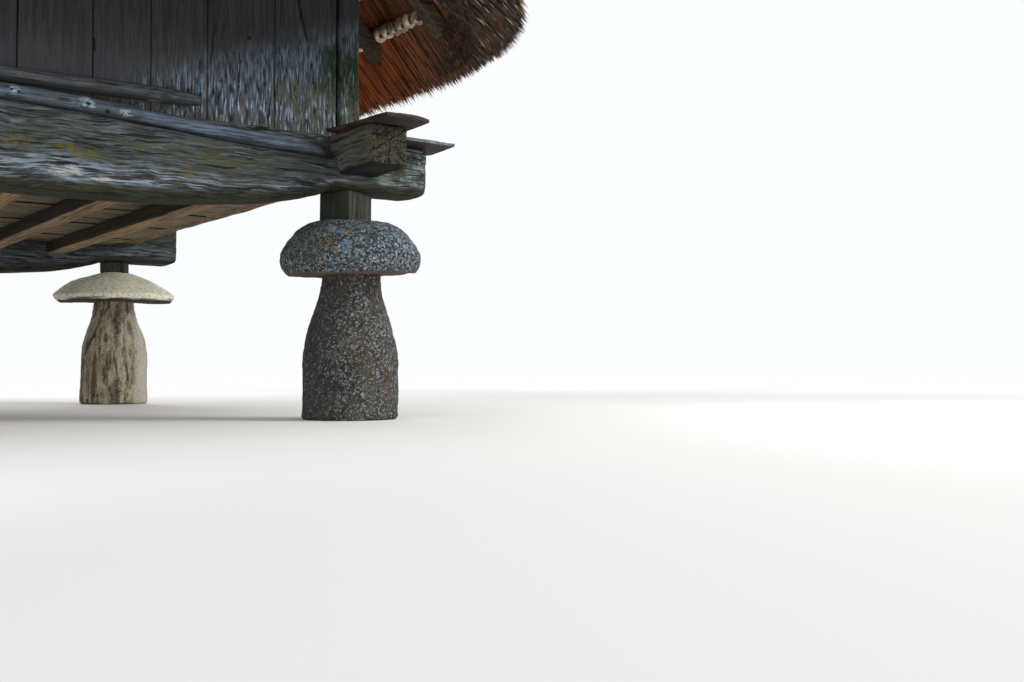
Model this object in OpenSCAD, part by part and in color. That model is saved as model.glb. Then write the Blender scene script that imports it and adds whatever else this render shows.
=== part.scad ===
/* [Plan] */
// Distance between pillar centres, the same along all four sides
span = 4600; // [4000:100:5200]

/* [Pillars and staddle stones] */
// Height of a pillar that carries a thick staddle stone
pillar_h = 900; // [700:20:1300]
// Diameter of a pillar at its neck
neck_d = 360; // [300:10:420]
// Diameter of a pillar at the ground
foot_d = 600; // [480:10:680]
// Length of the flare from the neck down
flare_h = 560; // [300:20:680]
// Diameter of a thick staddle stone
staddle_d = 900; // [760:10:1000]
// Height of a thick staddle stone
staddle_h = 330; // [260:10:380]
// Diameter of a flat staddle stone
flat_staddle_d = 1100; // [900:10:1200]
// Height of a flat staddle stone
flat_staddle_h = 270; // [200:10:300]
// Diameter of the seat on top of each staddle stone
seat_d = 320; // [300:10:440]
// Width of the wooden pad on each staddle stone
pad_w = 230; // [200:10:260]
// Turn of the pads in plan, in degrees
pad_turn = 24; // [0:1:40]
// How far the front right pillar and its stone stand out to the right of the crossing
near_shift = 35; // [0:5:60]
// How far the back right pillar, its stone and pad stand in to the left of the crossing
far_shift = 45; // [0:5:80]
// Height of the pad
pad_h = 175; // [100:5:240]

/* [Log beams] */
// Width of the front and back beams
beam_w = 300; // [260:10:360]
// Width of the left and right beams
side_beam_w = 260; // [220:10:300]
// Height of all four beams where they cross
beam_h = 340; // [300:10:400]
// Height that a front or back beam keeps under the lap
lap_h = 130; // [100:10:180]
// Extra depth of the front and back beams at mid length
belly = 155; // [0:5:170]
// Extra depth of the back beam all along, taken up by shorter pads
back_extra = 85; // [0:5:95]
// How much higher than the crossings' foot the left and right beams' underside lies
side_rise = 90; // [0:5:95]
// Wane along the lower edges of the front and back beams
wane = 48; // [20:2:60]
// Wane along the lower edges of the left and right beams
side_wane = 80; // [20:2:90]
// Projection of the front and back beams past the pillar centres
beam_out = 500; // [400:10:600]
// Projection of the left and right beams past the pillar centres
side_beam_out = 550; // [400:10:650]
// Drop of the front and back beams' top at their projecting ends
end_drop = 25; // [25:5:100]
// Width of the ledge along the outer edge of the front and back beams
ledge_w = 110; // [80:5:120]
// Depth of that ledge below the wall seat, near the corners
ledge_drop = 155; // [100:5:170]
// Rise of the ledge at mid length
ledge_rise = 110; // [0:5:120]
// Thickness of the slate caps
slate_t = 20; // [15:1:24]

/* [Walls] */
// Height of the wall boards
wall_h = 1570; // [1300:10:1900]
// Thickness of the wall boards
board_t = 50; // [30:1:60]
// Open joint between neighbouring wall boards
board_gap = 7; // [3:1:14]
// Open joint between a wall and a corner post
post_gap = 20; // [8:1:30]
// Width of the corner posts
post_w = 130; // [110:5:160]
// Distance from the pillar centres to the outer face of the posts
post_out = 60; // [40:5:80]
// Set-back of the boards from the outer face of the posts
board_recess = 15; // [5:1:30]
// Height of the door
door_h = 1300; // [1000:10:1400]
// Height of the wall plates
plate_h = 140; // [100:5:180]
// Width of the wall plates
plate_w = 150; // [130:5:180]
// Projection of the wall plates past their crossings
plate_out = 110; // [40:5:160]

/* [Floor] */
// Number of floor joists
joist_n = 7; // [5:1:8]
// Width of a joist
joist_w = 150; // [110:5:200]
// Height of a joist
joist_h = 105; // [90:5:180]
// Distance the joists hang below the underside of the beams
joist_drop = 40; // [0:5:60]
// Distance from a pillar centre to the outermost joist centre
joist_inset = 620; // [450:10:700]
// Height of the stub tenon at a joist's end
tenon_h = 70; // [50:5:85]
// Length of the stub tenon
tenon_l = 70; // [40:5:90]
// Thickness of the floor boards
floor_t = 40; // [25:1:50]
// Nominal width of a floor board
floor_board_w = 300; // [200:10:400]
// Open joint between floor boards
floor_gap = 9; // [4:1:16]

/* [Roof] */
// Pitch of the four slopes in degrees
pitch = 48; // [42:1:54]
// Distance from the pillar centres out to the lower tip of the thatch
eave_out = 1090; // [900:10:1300]
// Thickness of the thatch, square to the slope
thatch_t = 320; // [240:10:400]
// Plan radius of the thatch underside at the eave corners
eave_r = 1850; // [1200:50:2100]
// The same radius at the rafter tails
tail_r = 1000; // [600:50:1100]
// Plan radius of the thatch underside above the wall corners
hip_r = 250; // [200:10:400]
// Width of a common rafter
rafter_w = 118; // [80:2:130]
// Height of a common rafter
rafter_h = 70; // [60:5:130]
// Number of common rafters on each side
rafter_n = 6; // [4:1:9]
// Distance from a pillar centre to the outermost common rafter centre
rafter_inset = 180; // [160:10:400]
// Distance from the rafter ends out to the tip of the thatch
tail_back = 300; // [200:10:450]
// Width of a hip rafter
hip_w = 110; // [80:5:130]
// Side of a square batten
batten_s = 45; // [30:1:55]
// Spacing of the battens along the slope
batten_pitch = 330; // [250:10:450]
// Diameter of the crest
crest_d = 440; // [300:10:500]
// Height of the crest
crest_h = 230; // [120:10:300]

/* [Loose poles] */
// Diameter of the lower pole at its thick end
pole_d = 104; // [60:2:108]
// Diameter of the upper pole at its thick end
upper_pole_d = 88; // [50:2:96]
// Length of the upper pole
upper_pole_l = 2950; // [2000:50:3400]
// Distance from the right pillar centres to the upper pole's thick end
upper_pole_inset = 980; // [700:20:1200]

/* [Hidden] */

seat = 0.3;                  // clearance of a piece that only lies against another
cut = 1;                     // how far a cutting shape reaches past what it cuts
round_fn = 64;               // facets of turned stones
thick_rim = 90;              // height of a staddle stone's rim below its dome
flat_rim = 60;
thick_round = 0.65;          // 1 for a round dome, 0 for a straight cone
flat_round = 0.25;
half = span / 2;
stack_h = pillar_h + staddle_h + pad_h;
beam_z = stack_h;            // underside of the beams
wall_z = beam_z + beam_h;    // seat of posts and wall boards
plate_z = wall_z + wall_h;
plate_top = plate_z + plate_h;

// Outer faces of the posts, the boards and the beams, from the centre of the plan
post_face = half + post_out;
board_face = post_face - board_recess;
clear_half = post_face - post_w - post_gap;
belly_half = half - pad_w / 2 - 35;
log_rings = 22;

// Joists
joist_z = beam_z - joist_drop;
joist_top = joist_z + joist_h;
joist_half = half - joist_inset;
joist_step = 2 * joist_half / (joist_n - 1);

// Board widths along a wall, as shares of its clear width
board_shares = [36, 41, 33, 43, 38, 39, 34, 40, 33, 34, 43, 42];
door_boards = [5, 6];

// Roof lines, as heights above the distance from the centre of the plan
bird_drop = 15;
t_pitch = tan(pitch);
eave_u = half + eave_out;
tail_u = eave_u - tail_back;
function rafter_under(u) = plate_top - bird_drop - (u - half) * t_pitch;
function rafter_over(u) = rafter_under(u) + rafter_h / cos(pitch);
function thatch_under(u) = rafter_over(u) + (batten_s + 2 * seat) / cos(pitch);
function thatch_over(u) = thatch_under(u) + thatch_t / cos(pitch);
rafter_step = 2 * (half - rafter_inset) / (rafter_n - 1);

// The hips: the underside turns from a sharp apex through hip_r and tail_r to eave_r
hip_start = 300;             // from the pillar centres out to where the hips widen
hip_u = half + hip_start;
function hip_reach(u, r) = sqrt(2) * u - (sqrt(2) - 1) * r;
hip_v = hip_reach(hip_u, hip_r);
hip_slope = (thatch_under(0) - thatch_under(hip_u)) / hip_v;
hip_a = atan(hip_slope);
function underside_r(u) = u < hip_u ? hip_r * u / hip_u
    : u < tail_u ? hip_r + (tail_r - hip_r) * (u - hip_u) / (tail_u - hip_u)
    : tail_r + (eave_r - tail_r) * (u - tail_u) / (eave_u - tail_u);
crest_u = crest_d / 2 + 20;
crest_z = thatch_over(crest_u);
tip_t = 30;                  // blunt tip of the thatch at the eave
rim_round = 120;             // how much rounder the hips are on the upper edge of the eave
rim_u = eave_u + tip_t + thatch_t * sin(pitch);
crest_r = crest_u - 10;
crown_levels = [0.44, 0.71, 0.87, 1];    // where the outside is shaped, as shares of rim_u
// Plan radius of the hips on the outside, growing from the crest to the upper edge
function outside_r(u) = crest_r + (eave_r + rim_round - crest_r) * pow(u / rim_u, 3);

// A smooth bow that is 1 at mid length and 0 from the ends of the belly outwards
function bow(x) = abs(x) >= belly_half ? 0 : (1 + cos(180 * x / belly_half)) / 2;
// A fuller bow, which stays deep until it turns up beside the pads
function full_bow(x, reach) = abs(x) >= reach ? 0 : pow(1 - pow(abs(x) / reach, 4), 0.8);
function ledge_level(x) = beam_h - ledge_drop + ledge_rise * bow(x);

// A closed skin over a row of rings that have the same number of points each
module skin(rings) {
    n = len(rings[0]);
    m = len(rings);
    sides = [for (i = [0:m - 2], j = [0:n - 1])
        let (a = i * n + j, b = i * n + (j + 1) % n)
        each [[a, a + n, b + n], [a, b + n, b]]];
    caps = [[for (j = [0:n - 1]) j], [for (j = [n - 1:-1:0]) (m - 1) * n + j]];
    polyhedron(points = [for (r = rings) each r], faces = concat(sides, caps), convexity = 6);
}

// Places a piece of the front right corner at one of the four corners
module at_corner(right, front) {
    mirror([right ? 0 : 1, 0, 0]) mirror([0, front ? 0 : 1, 0]) translate([half, -half, 0])
        children();
}

// Turns a piece of the front side onto side 0 front, 1 right, 2 back, 3 left
module on_side(k) {
    rotate([0, 0, 90 * k]) children();
}

// Pillars, staddle stones and pads

module pillar(h) {
    steps = 9;
    flare = [for (i = [0:steps])
        let (f = i / steps)
        [neck_d / 2 + (foot_d - neck_d) / 2 * (1 + cos(180 * f)) / 2, h - flare_h * (1 - f)]];
    color("dimgray") rotate_extrude($fn = round_fn)
        polygon(concat([[0, 0], [foot_d / 2, 0]], flare, [[0, h]]));
}

// full is the roundness of the dome
module staddle(d, h, rim, full) {
    steps = 9;
    bevel = 40;
    dome = [for (i = [0:steps])
        let (a = 90 * i / steps, f = i / steps,
             r_round = seat_d / 2 + (d - seat_d) / 2 * cos(a),
             r_cone = d / 2 + (seat_d - d) / 2 * f,
             z_round = rim + (h - rim) * sin(a),
             z_cone = rim + (h - rim) * f)
        [r_round * full + r_cone * (1 - full), z_round * full + z_cone * (1 - full)]];
    color("slategray") rotate_extrude($fn = round_fn)
        polygon(concat([[0, 0], [d / 2 - bevel, 0], [d / 2, rim / 2]], dome, [[0, h]]));
}

module thick_pillar() {
    pillar(pillar_h);
}

module flat_pillar() {
    pillar(pillar_h + staddle_h - flat_staddle_h);
}

module thick_staddle() {
    translate([0, 0, pillar_h]) staddle(staddle_d, staddle_h, thick_rim, thick_round);
}

module flat_staddle() {
    translate([0, 0, pillar_h + staddle_h - flat_staddle_h])
        staddle(flat_staddle_d, flat_staddle_h, flat_rim, flat_round);
}

module pad(h) {
    edge = 12;
    color("darkolivegreen") translate([0, 0, pillar_h + staddle_h]) rotate([0, 0, pad_turn])
        linear_extrude(h)
        polygon([for (k = [0:3], s = [-1, 1])
            let (c = cos(90 * k), n = sin(90 * k), a = pad_w / 2, b = s * (pad_w / 2 - edge))
            [a * c - b * n, a * n + b * c]]);
}

// Log beams

// Cross-section of a log at one place: its half width, underside, top and lower wane
function log_ring(x, w, zb, zt, c) = [
    [x, -w, zt - 12], [x, -w, zb + c], [x, -w + 0.3 * c, zb + 0.3 * c],
    [x, -w + c, zb], [x, w - c, zb], [x, w - 0.3 * c, zb + 0.3 * c],
    [x, w, zb + c], [x, w, zt - 12], [x, w - 12, zt], [x, -w + 12, zt]
];

// A front or back beam along X, its underside at -extra over the pads, its belly within reach
module bellied_log(extra, reach) {
    end_x = half + beam_out;
    shoulder_x = half + side_beam_w / 2 + 15;
    xs = concat([-end_x, -shoulder_x - 1, -shoulder_x],
        [for (i = [0:log_rings]) -reach + 2 * reach * i / log_rings],
        [shoulder_x, shoulder_x + 1, end_x]);
    skin([for (x = xs)
        let (end = abs(x) > shoulder_x, tip = abs(x) == end_x)
        log_ring(x, beam_w / 2 - (tip ? 14 : 0),
            -extra - belly * full_bow(x, reach) + (tip ? 18 : 0),
            beam_h - (end ? end_drop : 0), wane)]);
}

module long_beam(extra, reach) {
    notch = side_beam_w + 2 * seat;
    ledge_n = 24;
    ledge_half = half - side_beam_w / 2 - seat;
    color("gray") translate([0, -half, beam_z]) difference() {
        bellied_log(extra, reach);
        for (x = [-half, half]) translate([x - notch / 2, -beam_w / 2 - cut, lap_h])
            cube([notch, beam_w + 2 * cut, beam_h]);
        // the ledge along the outer edge, between the two crossings
        translate([0, -beam_w / 2 + ledge_w, 0]) rotate([90, 0, 0]) linear_extrude(ledge_w + cut)
            polygon(concat([[ledge_half + cut, beam_h + cut], [-ledge_half - cut, beam_h + cut]],
                [for (i = [0:ledge_n])
                    let (x = -ledge_half - cut + 2 * (ledge_half + cut) * i / ledge_n)
                    [x, ledge_level(x)]]));
        // sockets of the joists' tenons
        for (i = [0:joist_n - 1])
            translate([-joist_half + i * joist_step - joist_w / 2 - seat,
                       beam_w / 2 - tenon_l - seat, joist_top - tenon_h - beam_z])
                cube([joist_w + 2 * seat, tenon_l + seat + cut, tenon_h + seat]);
    }
}

module side_beam() {
    end_y = half + side_beam_out;
    notch = beam_w + 2 * seat;
    color("gray") translate([half, 0, beam_z]) difference() {
        rotate([0, 0, 90]) skin([
            log_ring(-end_y, side_beam_w / 2 - 10, side_rise + 14, beam_h, wane),
            log_ring(-half + notch / 2, side_beam_w / 2, side_rise, beam_h, wane),
            log_ring(-half + notch, side_beam_w / 2, side_rise, beam_h, side_wane),
            log_ring(half - notch, side_beam_w / 2, side_rise, beam_h, side_wane),
            log_ring(half - notch / 2, side_beam_w / 2, side_rise, beam_h, wane),
            log_ring(end_y, side_beam_w / 2 - 10, side_rise + 14, beam_h, wane)]);
        for (y = [-half, half])
            translate([-side_beam_w / 2 - cut, y - notch / 2, -cut])
                cube([side_beam_w + 2 * cut, notch, cut + lap_h]);
    }
}

// Thin slates that keep rain off the end grain, for the front right corner
module corner_slates() {
    wall_gap = 90;
    side_l = side_beam_out + 90;                 // length of the slate on the side beam
    long_l = beam_out - side_beam_w / 2 + 90;    // length of the slate on the front beam
    over = beam_w / 2 + 150;                     // its front edge, from the beam's middle
    side_in = 205;                               // reach of the first slate inwards
    side_out = 190;                              // and outwards, from the side beam's middle
    long_back = 200;                             // reach of the second slate to the back
    color("darkslategray") {
        translate([0, -board_face + half - wall_gap, wall_z]) linear_extrude(slate_t)
            polygon([[-side_in, 0], [70 - side_in, 20 - side_l], [40, -side_l],
                [side_out - 15, 60 - side_l], [side_out, -20]]);
        translate([side_beam_w / 2 + 18, 0, wall_z - end_drop]) linear_extrude(slate_t)
            polygon([[0, -over - 40], [long_l, -over], [long_l + 40, 40],
                [long_l - 50, long_back - 10], [0, long_back]]);
    }
}

module slate_caps() {
    for (right = [true, false], front = [true, false]) at_corner(right, front) corner_slates();
}

// Posts, walls and door

module corner_post() {
    edge = 10;
    color("saddlebrown") translate([post_out - post_w / 2, post_w / 2 - post_out, wall_z])
        linear_extrude(wall_h) polygon([for (k = [0:3], s = [-1, 1])
            let (c = cos(90 * k), n = sin(90 * k), a = post_w / 2, b = s * (post_w / 2 - edge))
            [a * c - b * n, a * n + b * c]]);
}

share_sum = [for (s = board_shares) 1] * board_shares;
function share_start(i) = i == 0 ? 0 : share_start(i - 1) + board_shares[i - 1];
function board_x(i) = -clear_half + 2 * clear_half * share_start(i) / share_sum;

// One board between two places along the wall, standing on the beam
module wall_board(x0, x1, z0, z1) {
    translate([x0 + board_gap / 2, -board_face, z0])
        cube([x1 - x0 - board_gap, board_t, z1 - z0]);
}

module plain_wall() {
    color("sienna") for (i = [0:len(board_shares) - 1])
        wall_board(board_x(i), board_x(i + 1), wall_z, plate_z);
}

// The wall with the doorway: two boards stop above the door
module door_wall() {
    color("sienna") for (i = [0:len(board_shares) - 1]) {
        over_door = i >= door_boards[0] && i <= door_boards[1];
        wall_board(board_x(i), board_x(i + 1), over_door ? wall_z + door_h : wall_z, plate_z);
    }
}

// A closed leaf of two boards, held by two ledges on its inside
module door_leaf() {
    ledge_h = 90;
    ledge_t = 35;
    x0 = board_x(door_boards[0]);
    x1 = board_x(door_boards[1] + 1);
    color("peru") on_side(2) {
        for (i = door_boards) wall_board(board_x(i), board_x(i + 1), wall_z, wall_z + door_h - 4);
        for (z = [0.18, 0.78])
            translate([x0 + 40, -board_face + board_t, wall_z + z * door_h])
                cube([x1 - x0 - 80, ledge_t, ledge_h]);
    }
}

// Floor

module floor_joists() {
    inner = half - beam_w / 2;
    color("dimgray") for (i = [0:joist_n - 1])
        translate([-joist_half + i * joist_step, 0, joist_z]) rotate([90, 0, 90])
            linear_extrude(joist_w, center = true) polygon([
                [-inner + seat, 0], [inner - seat, 0], [inner - seat, joist_h - tenon_h],
                [inner + tenon_l, joist_h - tenon_h], [inner + tenon_l, joist_h],
                [-inner - tenon_l, joist_h], [-inner - tenon_l, joist_h - tenon_h],
                [-inner + seat, joist_h - tenon_h]]);
}

module floor_boards() {
    inner_x = half - side_beam_w / 2 - 4;
    inner_y = half - beam_w / 2 - 4;
    rows = round(2 * inner_y / floor_board_w);
    row_w = 2 * inner_y / rows;
    color("burlywood") for (i = [0:rows - 1])
        translate([-inner_x, -inner_y + i * row_w + floor_gap / 2, joist_top])
            cube([2 * inner_x, row_w - floor_gap, floor_t]);
}

// Wall plates, half-lapped at the corners

module long_plate() {
    l = post_face + plate_out;
    notch = plate_w + 2 * seat;
    color("saddlebrown") difference() {
        translate([-l, -post_face, plate_z]) cube([2 * l, plate_w, plate_h]);
        for (s = [-1, 1])
            translate([s * (post_face - plate_w / 2) - notch / 2, -post_face - cut,
                       plate_z + plate_h / 2])
                cube([notch, plate_w + 2 * cut, plate_h]);
    }
}

module side_plate() {
    l = post_face + plate_out;
    notch = plate_w + 2 * seat;
    color("saddlebrown") difference() {
        translate([post_face - plate_w, -l, plate_z]) cube([plate_w, 2 * l, plate_h]);
        for (s = [-1, 1])
            translate([post_face - plate_w - cut, s * (post_face - plate_w / 2) - notch / 2,
                       plate_z - plate_h / 2])
                cube([plate_w + 2 * cut, notch, plate_h]);
    }
}

// Roof timbers

// Plan wedge between two hips, its sides clear of the hip rafters
module slope_wedge(back_off, tall) {
    l = 2 * eave_u;
    linear_extrude(tall) polygon([[0, -back_off], [l, -back_off - l], [-l, -back_off - l]]);
}

module rafters() {
    hip_side = hip_w / 2 * sqrt(2) + seat;
    color("tan") intersection() {
        slope_wedge(hip_side, 3 * plate_top);
        difference() {
            for (i = [0:rafter_n - 1])
                translate([-half + rafter_inset + i * rafter_step, 0, 0]) rotate([90, 0, -90])
                    linear_extrude(rafter_w, center = true) polygon([
                        [0, rafter_under(0)], [tail_u, rafter_under(tail_u)],
                        [tail_u, rafter_over(tail_u)], [0, rafter_over(0)]]);
            translate([-half, -post_face - seat, plate_z])
                cube([2 * half, plate_w + 2 * seat, plate_h]);
        }
    }
}

// One hip rafter along +X, its top bevelled to the two slopes that meet on it
module hip_rafter() {
    corner_v = sqrt(2) * (post_face - plate_w / 2);
    top_z = thatch_under(0) - seat * 2;
    deep = (top_z - corner_v * hip_slope - (plate_top - bird_drop)) * cos(hip_a);
    side = hip_slope * hip_w / 2 * cos(hip_a);
    tail_v = hip_v - 40;
    l = 2 * eave_u;
    intersection() {
        translate([0, 0, top_z]) rotate([0, hip_a, 0]) rotate([90, 0, 90])
            translate([0, 0, -hip_w]) linear_extrude(2 * hip_v)
                polygon([[0, 0], [-hip_w / 2, -side], [-hip_w / 2, -deep],
                    [hip_w / 2, -deep], [hip_w / 2, -side]]);
        linear_extrude(2 * top_z)
            polygon([[seat, 0], [hip_w, hip_w - seat], [tail_v, hip_w], [tail_v, -hip_w],
                [hip_w, seat - hip_w]]);
    }
}

module hip_rafters() {
    corner = post_face - plate_w / 2;
    reach = plate_w / 2 + plate_out + seat;
    color("tan") for (k = [0:3]) rotate([0, 0, 45 + 90 * k]) difference() {
        hip_rafter();
        // bird's mouth over the crossing of the plates
        rotate([0, 0, -45]) translate([corner, corner, plate_z]) {
            translate([-l_back(), -plate_w / 2 - seat, 0])
                cube([l_back() + reach, plate_w + 2 * seat, plate_h]);
            translate([-plate_w / 2 - seat, -l_back(), 0])
                cube([plate_w + 2 * seat, l_back() + reach, plate_h]);
        }
    }
}

function l_back() = 3 * plate_w;

module side_battens() {
    first = tail_u - batten_s;
    hip_side = hip_w / 2 * sqrt(2) + 4;
    inner_x = rafter_n % 2 == 1 ? 0 : rafter_step / 2;
    top_u = inner_x + rafter_w / 2 + hip_side + 2 * batten_s;
    rows = floor((first - top_u) / (batten_pitch * cos(pitch)));
    for (j = [0:rows]) {
        u = first - j * batten_pitch * cos(pitch);
        reach = u - max(underside_r(u) + 10, hip_side + batten_s);
        translate([0, -u, rafter_over(u) + seat / cos(pitch)]) rotate([pitch, 0, 0])
            translate([-reach, 0, 0]) cube([2 * reach, batten_s, batten_s]);
    }
}

module battens() {
    color("peru") for (k = [0:3]) on_side(k) side_battens();
}

// Thatch

// A thin rounded square that forms one level of the thatch
module level(u, r, z) {
    translate([0, 0, z]) linear_extrude(0.01) hull()
        for (x = [-1, 1], y = [-1, 1]) translate([x * (u - r), y * (u - r)]) circle(r, $fn = 32);
}

module thatch_inside() {
    hull() {
        level(eave_u + 60 / t_pitch, eave_r + 60 / t_pitch, thatch_under(eave_u) - 60);
        level(tail_u, tail_r, thatch_under(tail_u));
        level(hip_u, hip_r, thatch_under(hip_u));
        level(12, 8, thatch_under(12));
    }
}

module thatch_outside() {
    hull() {
        level(eave_u + tip_t, eave_r, thatch_under(eave_u));
        for (f = crown_levels)
            level(f * rim_u, outside_r(f * rim_u), thatch_over(f * rim_u));
        level(crest_u, crest_r, crest_z);
    }
}

module thatch_slope() {
    color("rosybrown") intersection() {
        difference() {
            thatch_outside();
            thatch_inside();
        }
        slope_wedge(seat, 3 * plate_top);
    }
}

module thatch_crest() {
    steps = 7;
    color("rosybrown") translate([0, 0, crest_z + seat]) rotate_extrude($fn = 48)
        polygon(concat([[0, 0]], [for (i = [0:steps])
            let (a = 90 * i / steps)
            [crest_d / 2 * cos(a * 0.9), crest_h * pow(sin(a), 0.8)]], [[0, crest_h]]));
}

// Loose poles

function pole_ring(x, y, z, r) = [for (k = [0:9]) [x, y + r * cos(36 * k), z + r * sin(36 * k)]];

lower_end = half - side_beam_w / 2 - 60;
lower_y = -half - beam_w / 2 + ledge_w - pole_d / 2 - seat;

module front_pole_lower() {
    steps = 18;
    color("darkgoldenrod") skin([for (i = [0:steps])
        let (f = i / steps, x = -lower_end + 2 * lower_end * f, r = pole_d / 2 * (0.82 + 0.18 * f))
        pole_ring(x, lower_y, beam_z + ledge_level(x) + r + seat, r)]);
}

module front_pole_upper() {
    steps = 8;
    right_end = half - upper_pole_inset;
    r1 = upper_pole_d / 2;
    crown_z = beam_z + ledge_level(0) + 0.91 * pole_d + seat;
    near_y = board_face + seat + r1;
    color("darkgoldenrod") skin([for (i = [0:steps])
        let (f = i / steps, x = right_end - upper_pole_l * (1 - f), r = r1 * (0.86 + 0.14 * f))
        pole_ring(x, -near_y, crown_z + r1, r)]);
}

at_corner(true, true) translate([near_shift, 0, 0]) thick_pillar();  // pillar_front_right
at_corner(false, true) flat_pillar();  // pillar_front_left
at_corner(true, false) translate([-far_shift, 0, 0]) flat_pillar();  // pillar_back_right
at_corner(false, false) thick_pillar();  // pillar_back_left
at_corner(true, true) translate([near_shift, 0, 0]) thick_staddle();  // staddle_front_right
at_corner(false, true) flat_staddle();  // staddle_front_left
at_corner(true, false) translate([-far_shift, 0, 0]) flat_staddle();  // staddle_back_right
at_corner(false, false) thick_staddle();  // staddle_back_left
at_corner(true, true) pad(pad_h);  // pad_front_right
at_corner(false, true) pad(pad_h);  // pad_front_left
at_corner(true, false) translate([-far_shift, 0, 0]) pad(pad_h - back_extra);  // pad_back_right
at_corner(false, false) pad(pad_h - back_extra);  // pad_back_left
long_beam(0, belly_half);  // front_beam
on_side(2) long_beam(back_extra, belly_half - far_shift);  // back_beam
on_side(2) side_beam();  // left_beam
side_beam();  // right_beam
slate_caps();
at_corner(true, true) corner_post();  // corner_post_front_right
at_corner(false, true) corner_post();  // corner_post_front_left
at_corner(true, false) corner_post();  // corner_post_back_right
at_corner(false, false) corner_post();  // corner_post_back_left
plain_wall();  // front_wall
on_side(2) door_wall();  // back_wall
on_side(3) plain_wall();  // left_wall
on_side(1) plain_wall();  // right_wall
door_leaf();
floor_joists();
floor_boards();
long_plate();  // front_plate
on_side(2) long_plate();  // back_plate
on_side(2) side_plate();  // left_plate
side_plate();  // right_plate
hip_rafters();
rafters();  // rafters_front
on_side(1) rafters();  // rafters_right
on_side(2) rafters();  // rafters_back
on_side(3) rafters();  // rafters_left
battens();
thatch_slope();  // thatch_front
on_side(1) thatch_slope();  // thatch_right
on_side(2) thatch_slope();  // thatch_back
on_side(3) thatch_slope();  // thatch_left
thatch_crest();
front_pole_lower();
front_pole_upper();
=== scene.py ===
from math import ceil, cos, hypot, pi, radians, sin, tan
import random

import bmesh
import bpy
from mathutils import Euler, Matrix, Vector, noise


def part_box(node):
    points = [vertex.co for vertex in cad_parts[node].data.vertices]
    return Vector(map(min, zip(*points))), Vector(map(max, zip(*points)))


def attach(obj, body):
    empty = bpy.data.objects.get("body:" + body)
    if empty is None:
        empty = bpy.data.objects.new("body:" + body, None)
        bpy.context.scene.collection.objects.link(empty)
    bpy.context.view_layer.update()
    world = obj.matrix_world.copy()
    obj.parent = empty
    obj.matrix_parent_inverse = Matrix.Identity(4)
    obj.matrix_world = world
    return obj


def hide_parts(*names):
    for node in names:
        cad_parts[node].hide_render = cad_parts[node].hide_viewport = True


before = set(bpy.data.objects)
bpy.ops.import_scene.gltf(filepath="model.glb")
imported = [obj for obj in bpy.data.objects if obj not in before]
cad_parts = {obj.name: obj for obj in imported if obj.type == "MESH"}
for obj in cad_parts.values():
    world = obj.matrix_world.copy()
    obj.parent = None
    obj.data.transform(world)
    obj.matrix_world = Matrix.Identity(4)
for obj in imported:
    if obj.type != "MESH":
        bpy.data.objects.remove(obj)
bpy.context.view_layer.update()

# Camera
# Low in front of the left half of the building, turned to its near corner,
# so that the granary fills the upper left of the picture.


def new_object(name, data):
    thing = bpy.data.objects.new(name, data)
    bpy.context.collection.objects.link(thing)
    return thing


picture_wide, focal_pixels = 1024, 1174.08
tilt_up, turn_right = 1.578, 35.405
lens = bpy.data.cameras.new("camera")
lens.sensor_width = 36
lens.lens = focal_pixels / picture_wide * lens.sensor_width
lens.clip_end = 200
camera = new_object("camera", lens)
camera.location = (-1.083, -8.848, 0.285)
camera.rotation_euler = (radians(90 + tilt_up), 0, radians(-turn_right))
bpy.context.scene.camera = camera
bpy.context.scene.view_settings.view_transform = "Standard"

# Floor and light
# A pale floor that runs out into a white background, a soft key lamp from the right, weaker
# ones from the left and behind, and a low spot that reaches under the floor of the granary.


class Wire:
    """A socket in a node tree. Arithmetic on it adds Math nodes to that tree."""

    def __init__(self, tree, socket=None):
        self.tree, self.socket = tree, socket

    def node(self, kind, settings={}, sockets={}, out=0):
        """Adds a node: its settings first, then the values or links of its sockets.
        The answer is one output, or a list of them where out is a tuple."""
        node = self.tree.nodes.new(kind)
        for name, value in settings.items():
            setattr(node, name, value)
        for name, value in sockets.items():
            if isinstance(value, Wire):
                self.tree.links.new(value.socket, node.inputs[name])
            else:
                node.inputs[name].default_value = value
        if isinstance(out, tuple):
            return [Wire(self.tree, node.outputs[label]) for label in out]
        return Wire(self.tree, node.outputs[out] if node.outputs else None)

    def math(self, operation, *values):
        return self.node("ShaderNodeMath", {"operation": operation}, dict(enumerate(values)))

    def vector(self, operation, *values):
        """Vector maths, whose answer is a number for a length or a dot product."""
        return self.node("ShaderNodeVectorMath", {"operation": operation},
                         dict(enumerate(values)),
                         "Value" if operation in ("LENGTH", "DOT_PRODUCT") else "Vector")

    def part(self, axis):
        """One coordinate of a vector, by its letter."""
        return self.node("ShaderNodeSeparateXYZ", {}, {0: self}, out="XYZ".index(axis))

    def __add__(self, other):
        return self.math("ADD", self, other)

    def __sub__(self, other):
        return self.math("SUBTRACT", self, other)

    def __rsub__(self, other):
        return self.math("SUBTRACT", other, self)

    def __mul__(self, other):
        return self.math("MULTIPLY", self, other)

    __radd__ = __add__
    __rmul__ = __mul__

    def __abs__(self):
        return self.math("ABSOLUTE", self)

    def sine(self):
        return self.math("SINE", self)


def band(value, low, high):
    """0 below low, 1 above high and a smooth step between them; high may be the lower one."""
    return value.node("ShaderNodeMapRange", {"interpolation_type": "SMOOTHSTEP"},
                      {0: value, 1: low, 2: high})


def strongest(shares):
    """The highest of some shares."""
    highest, *others = shares
    for other in others:
        highest = highest.math("MAXIMUM", highest, other)
    return highest


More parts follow.
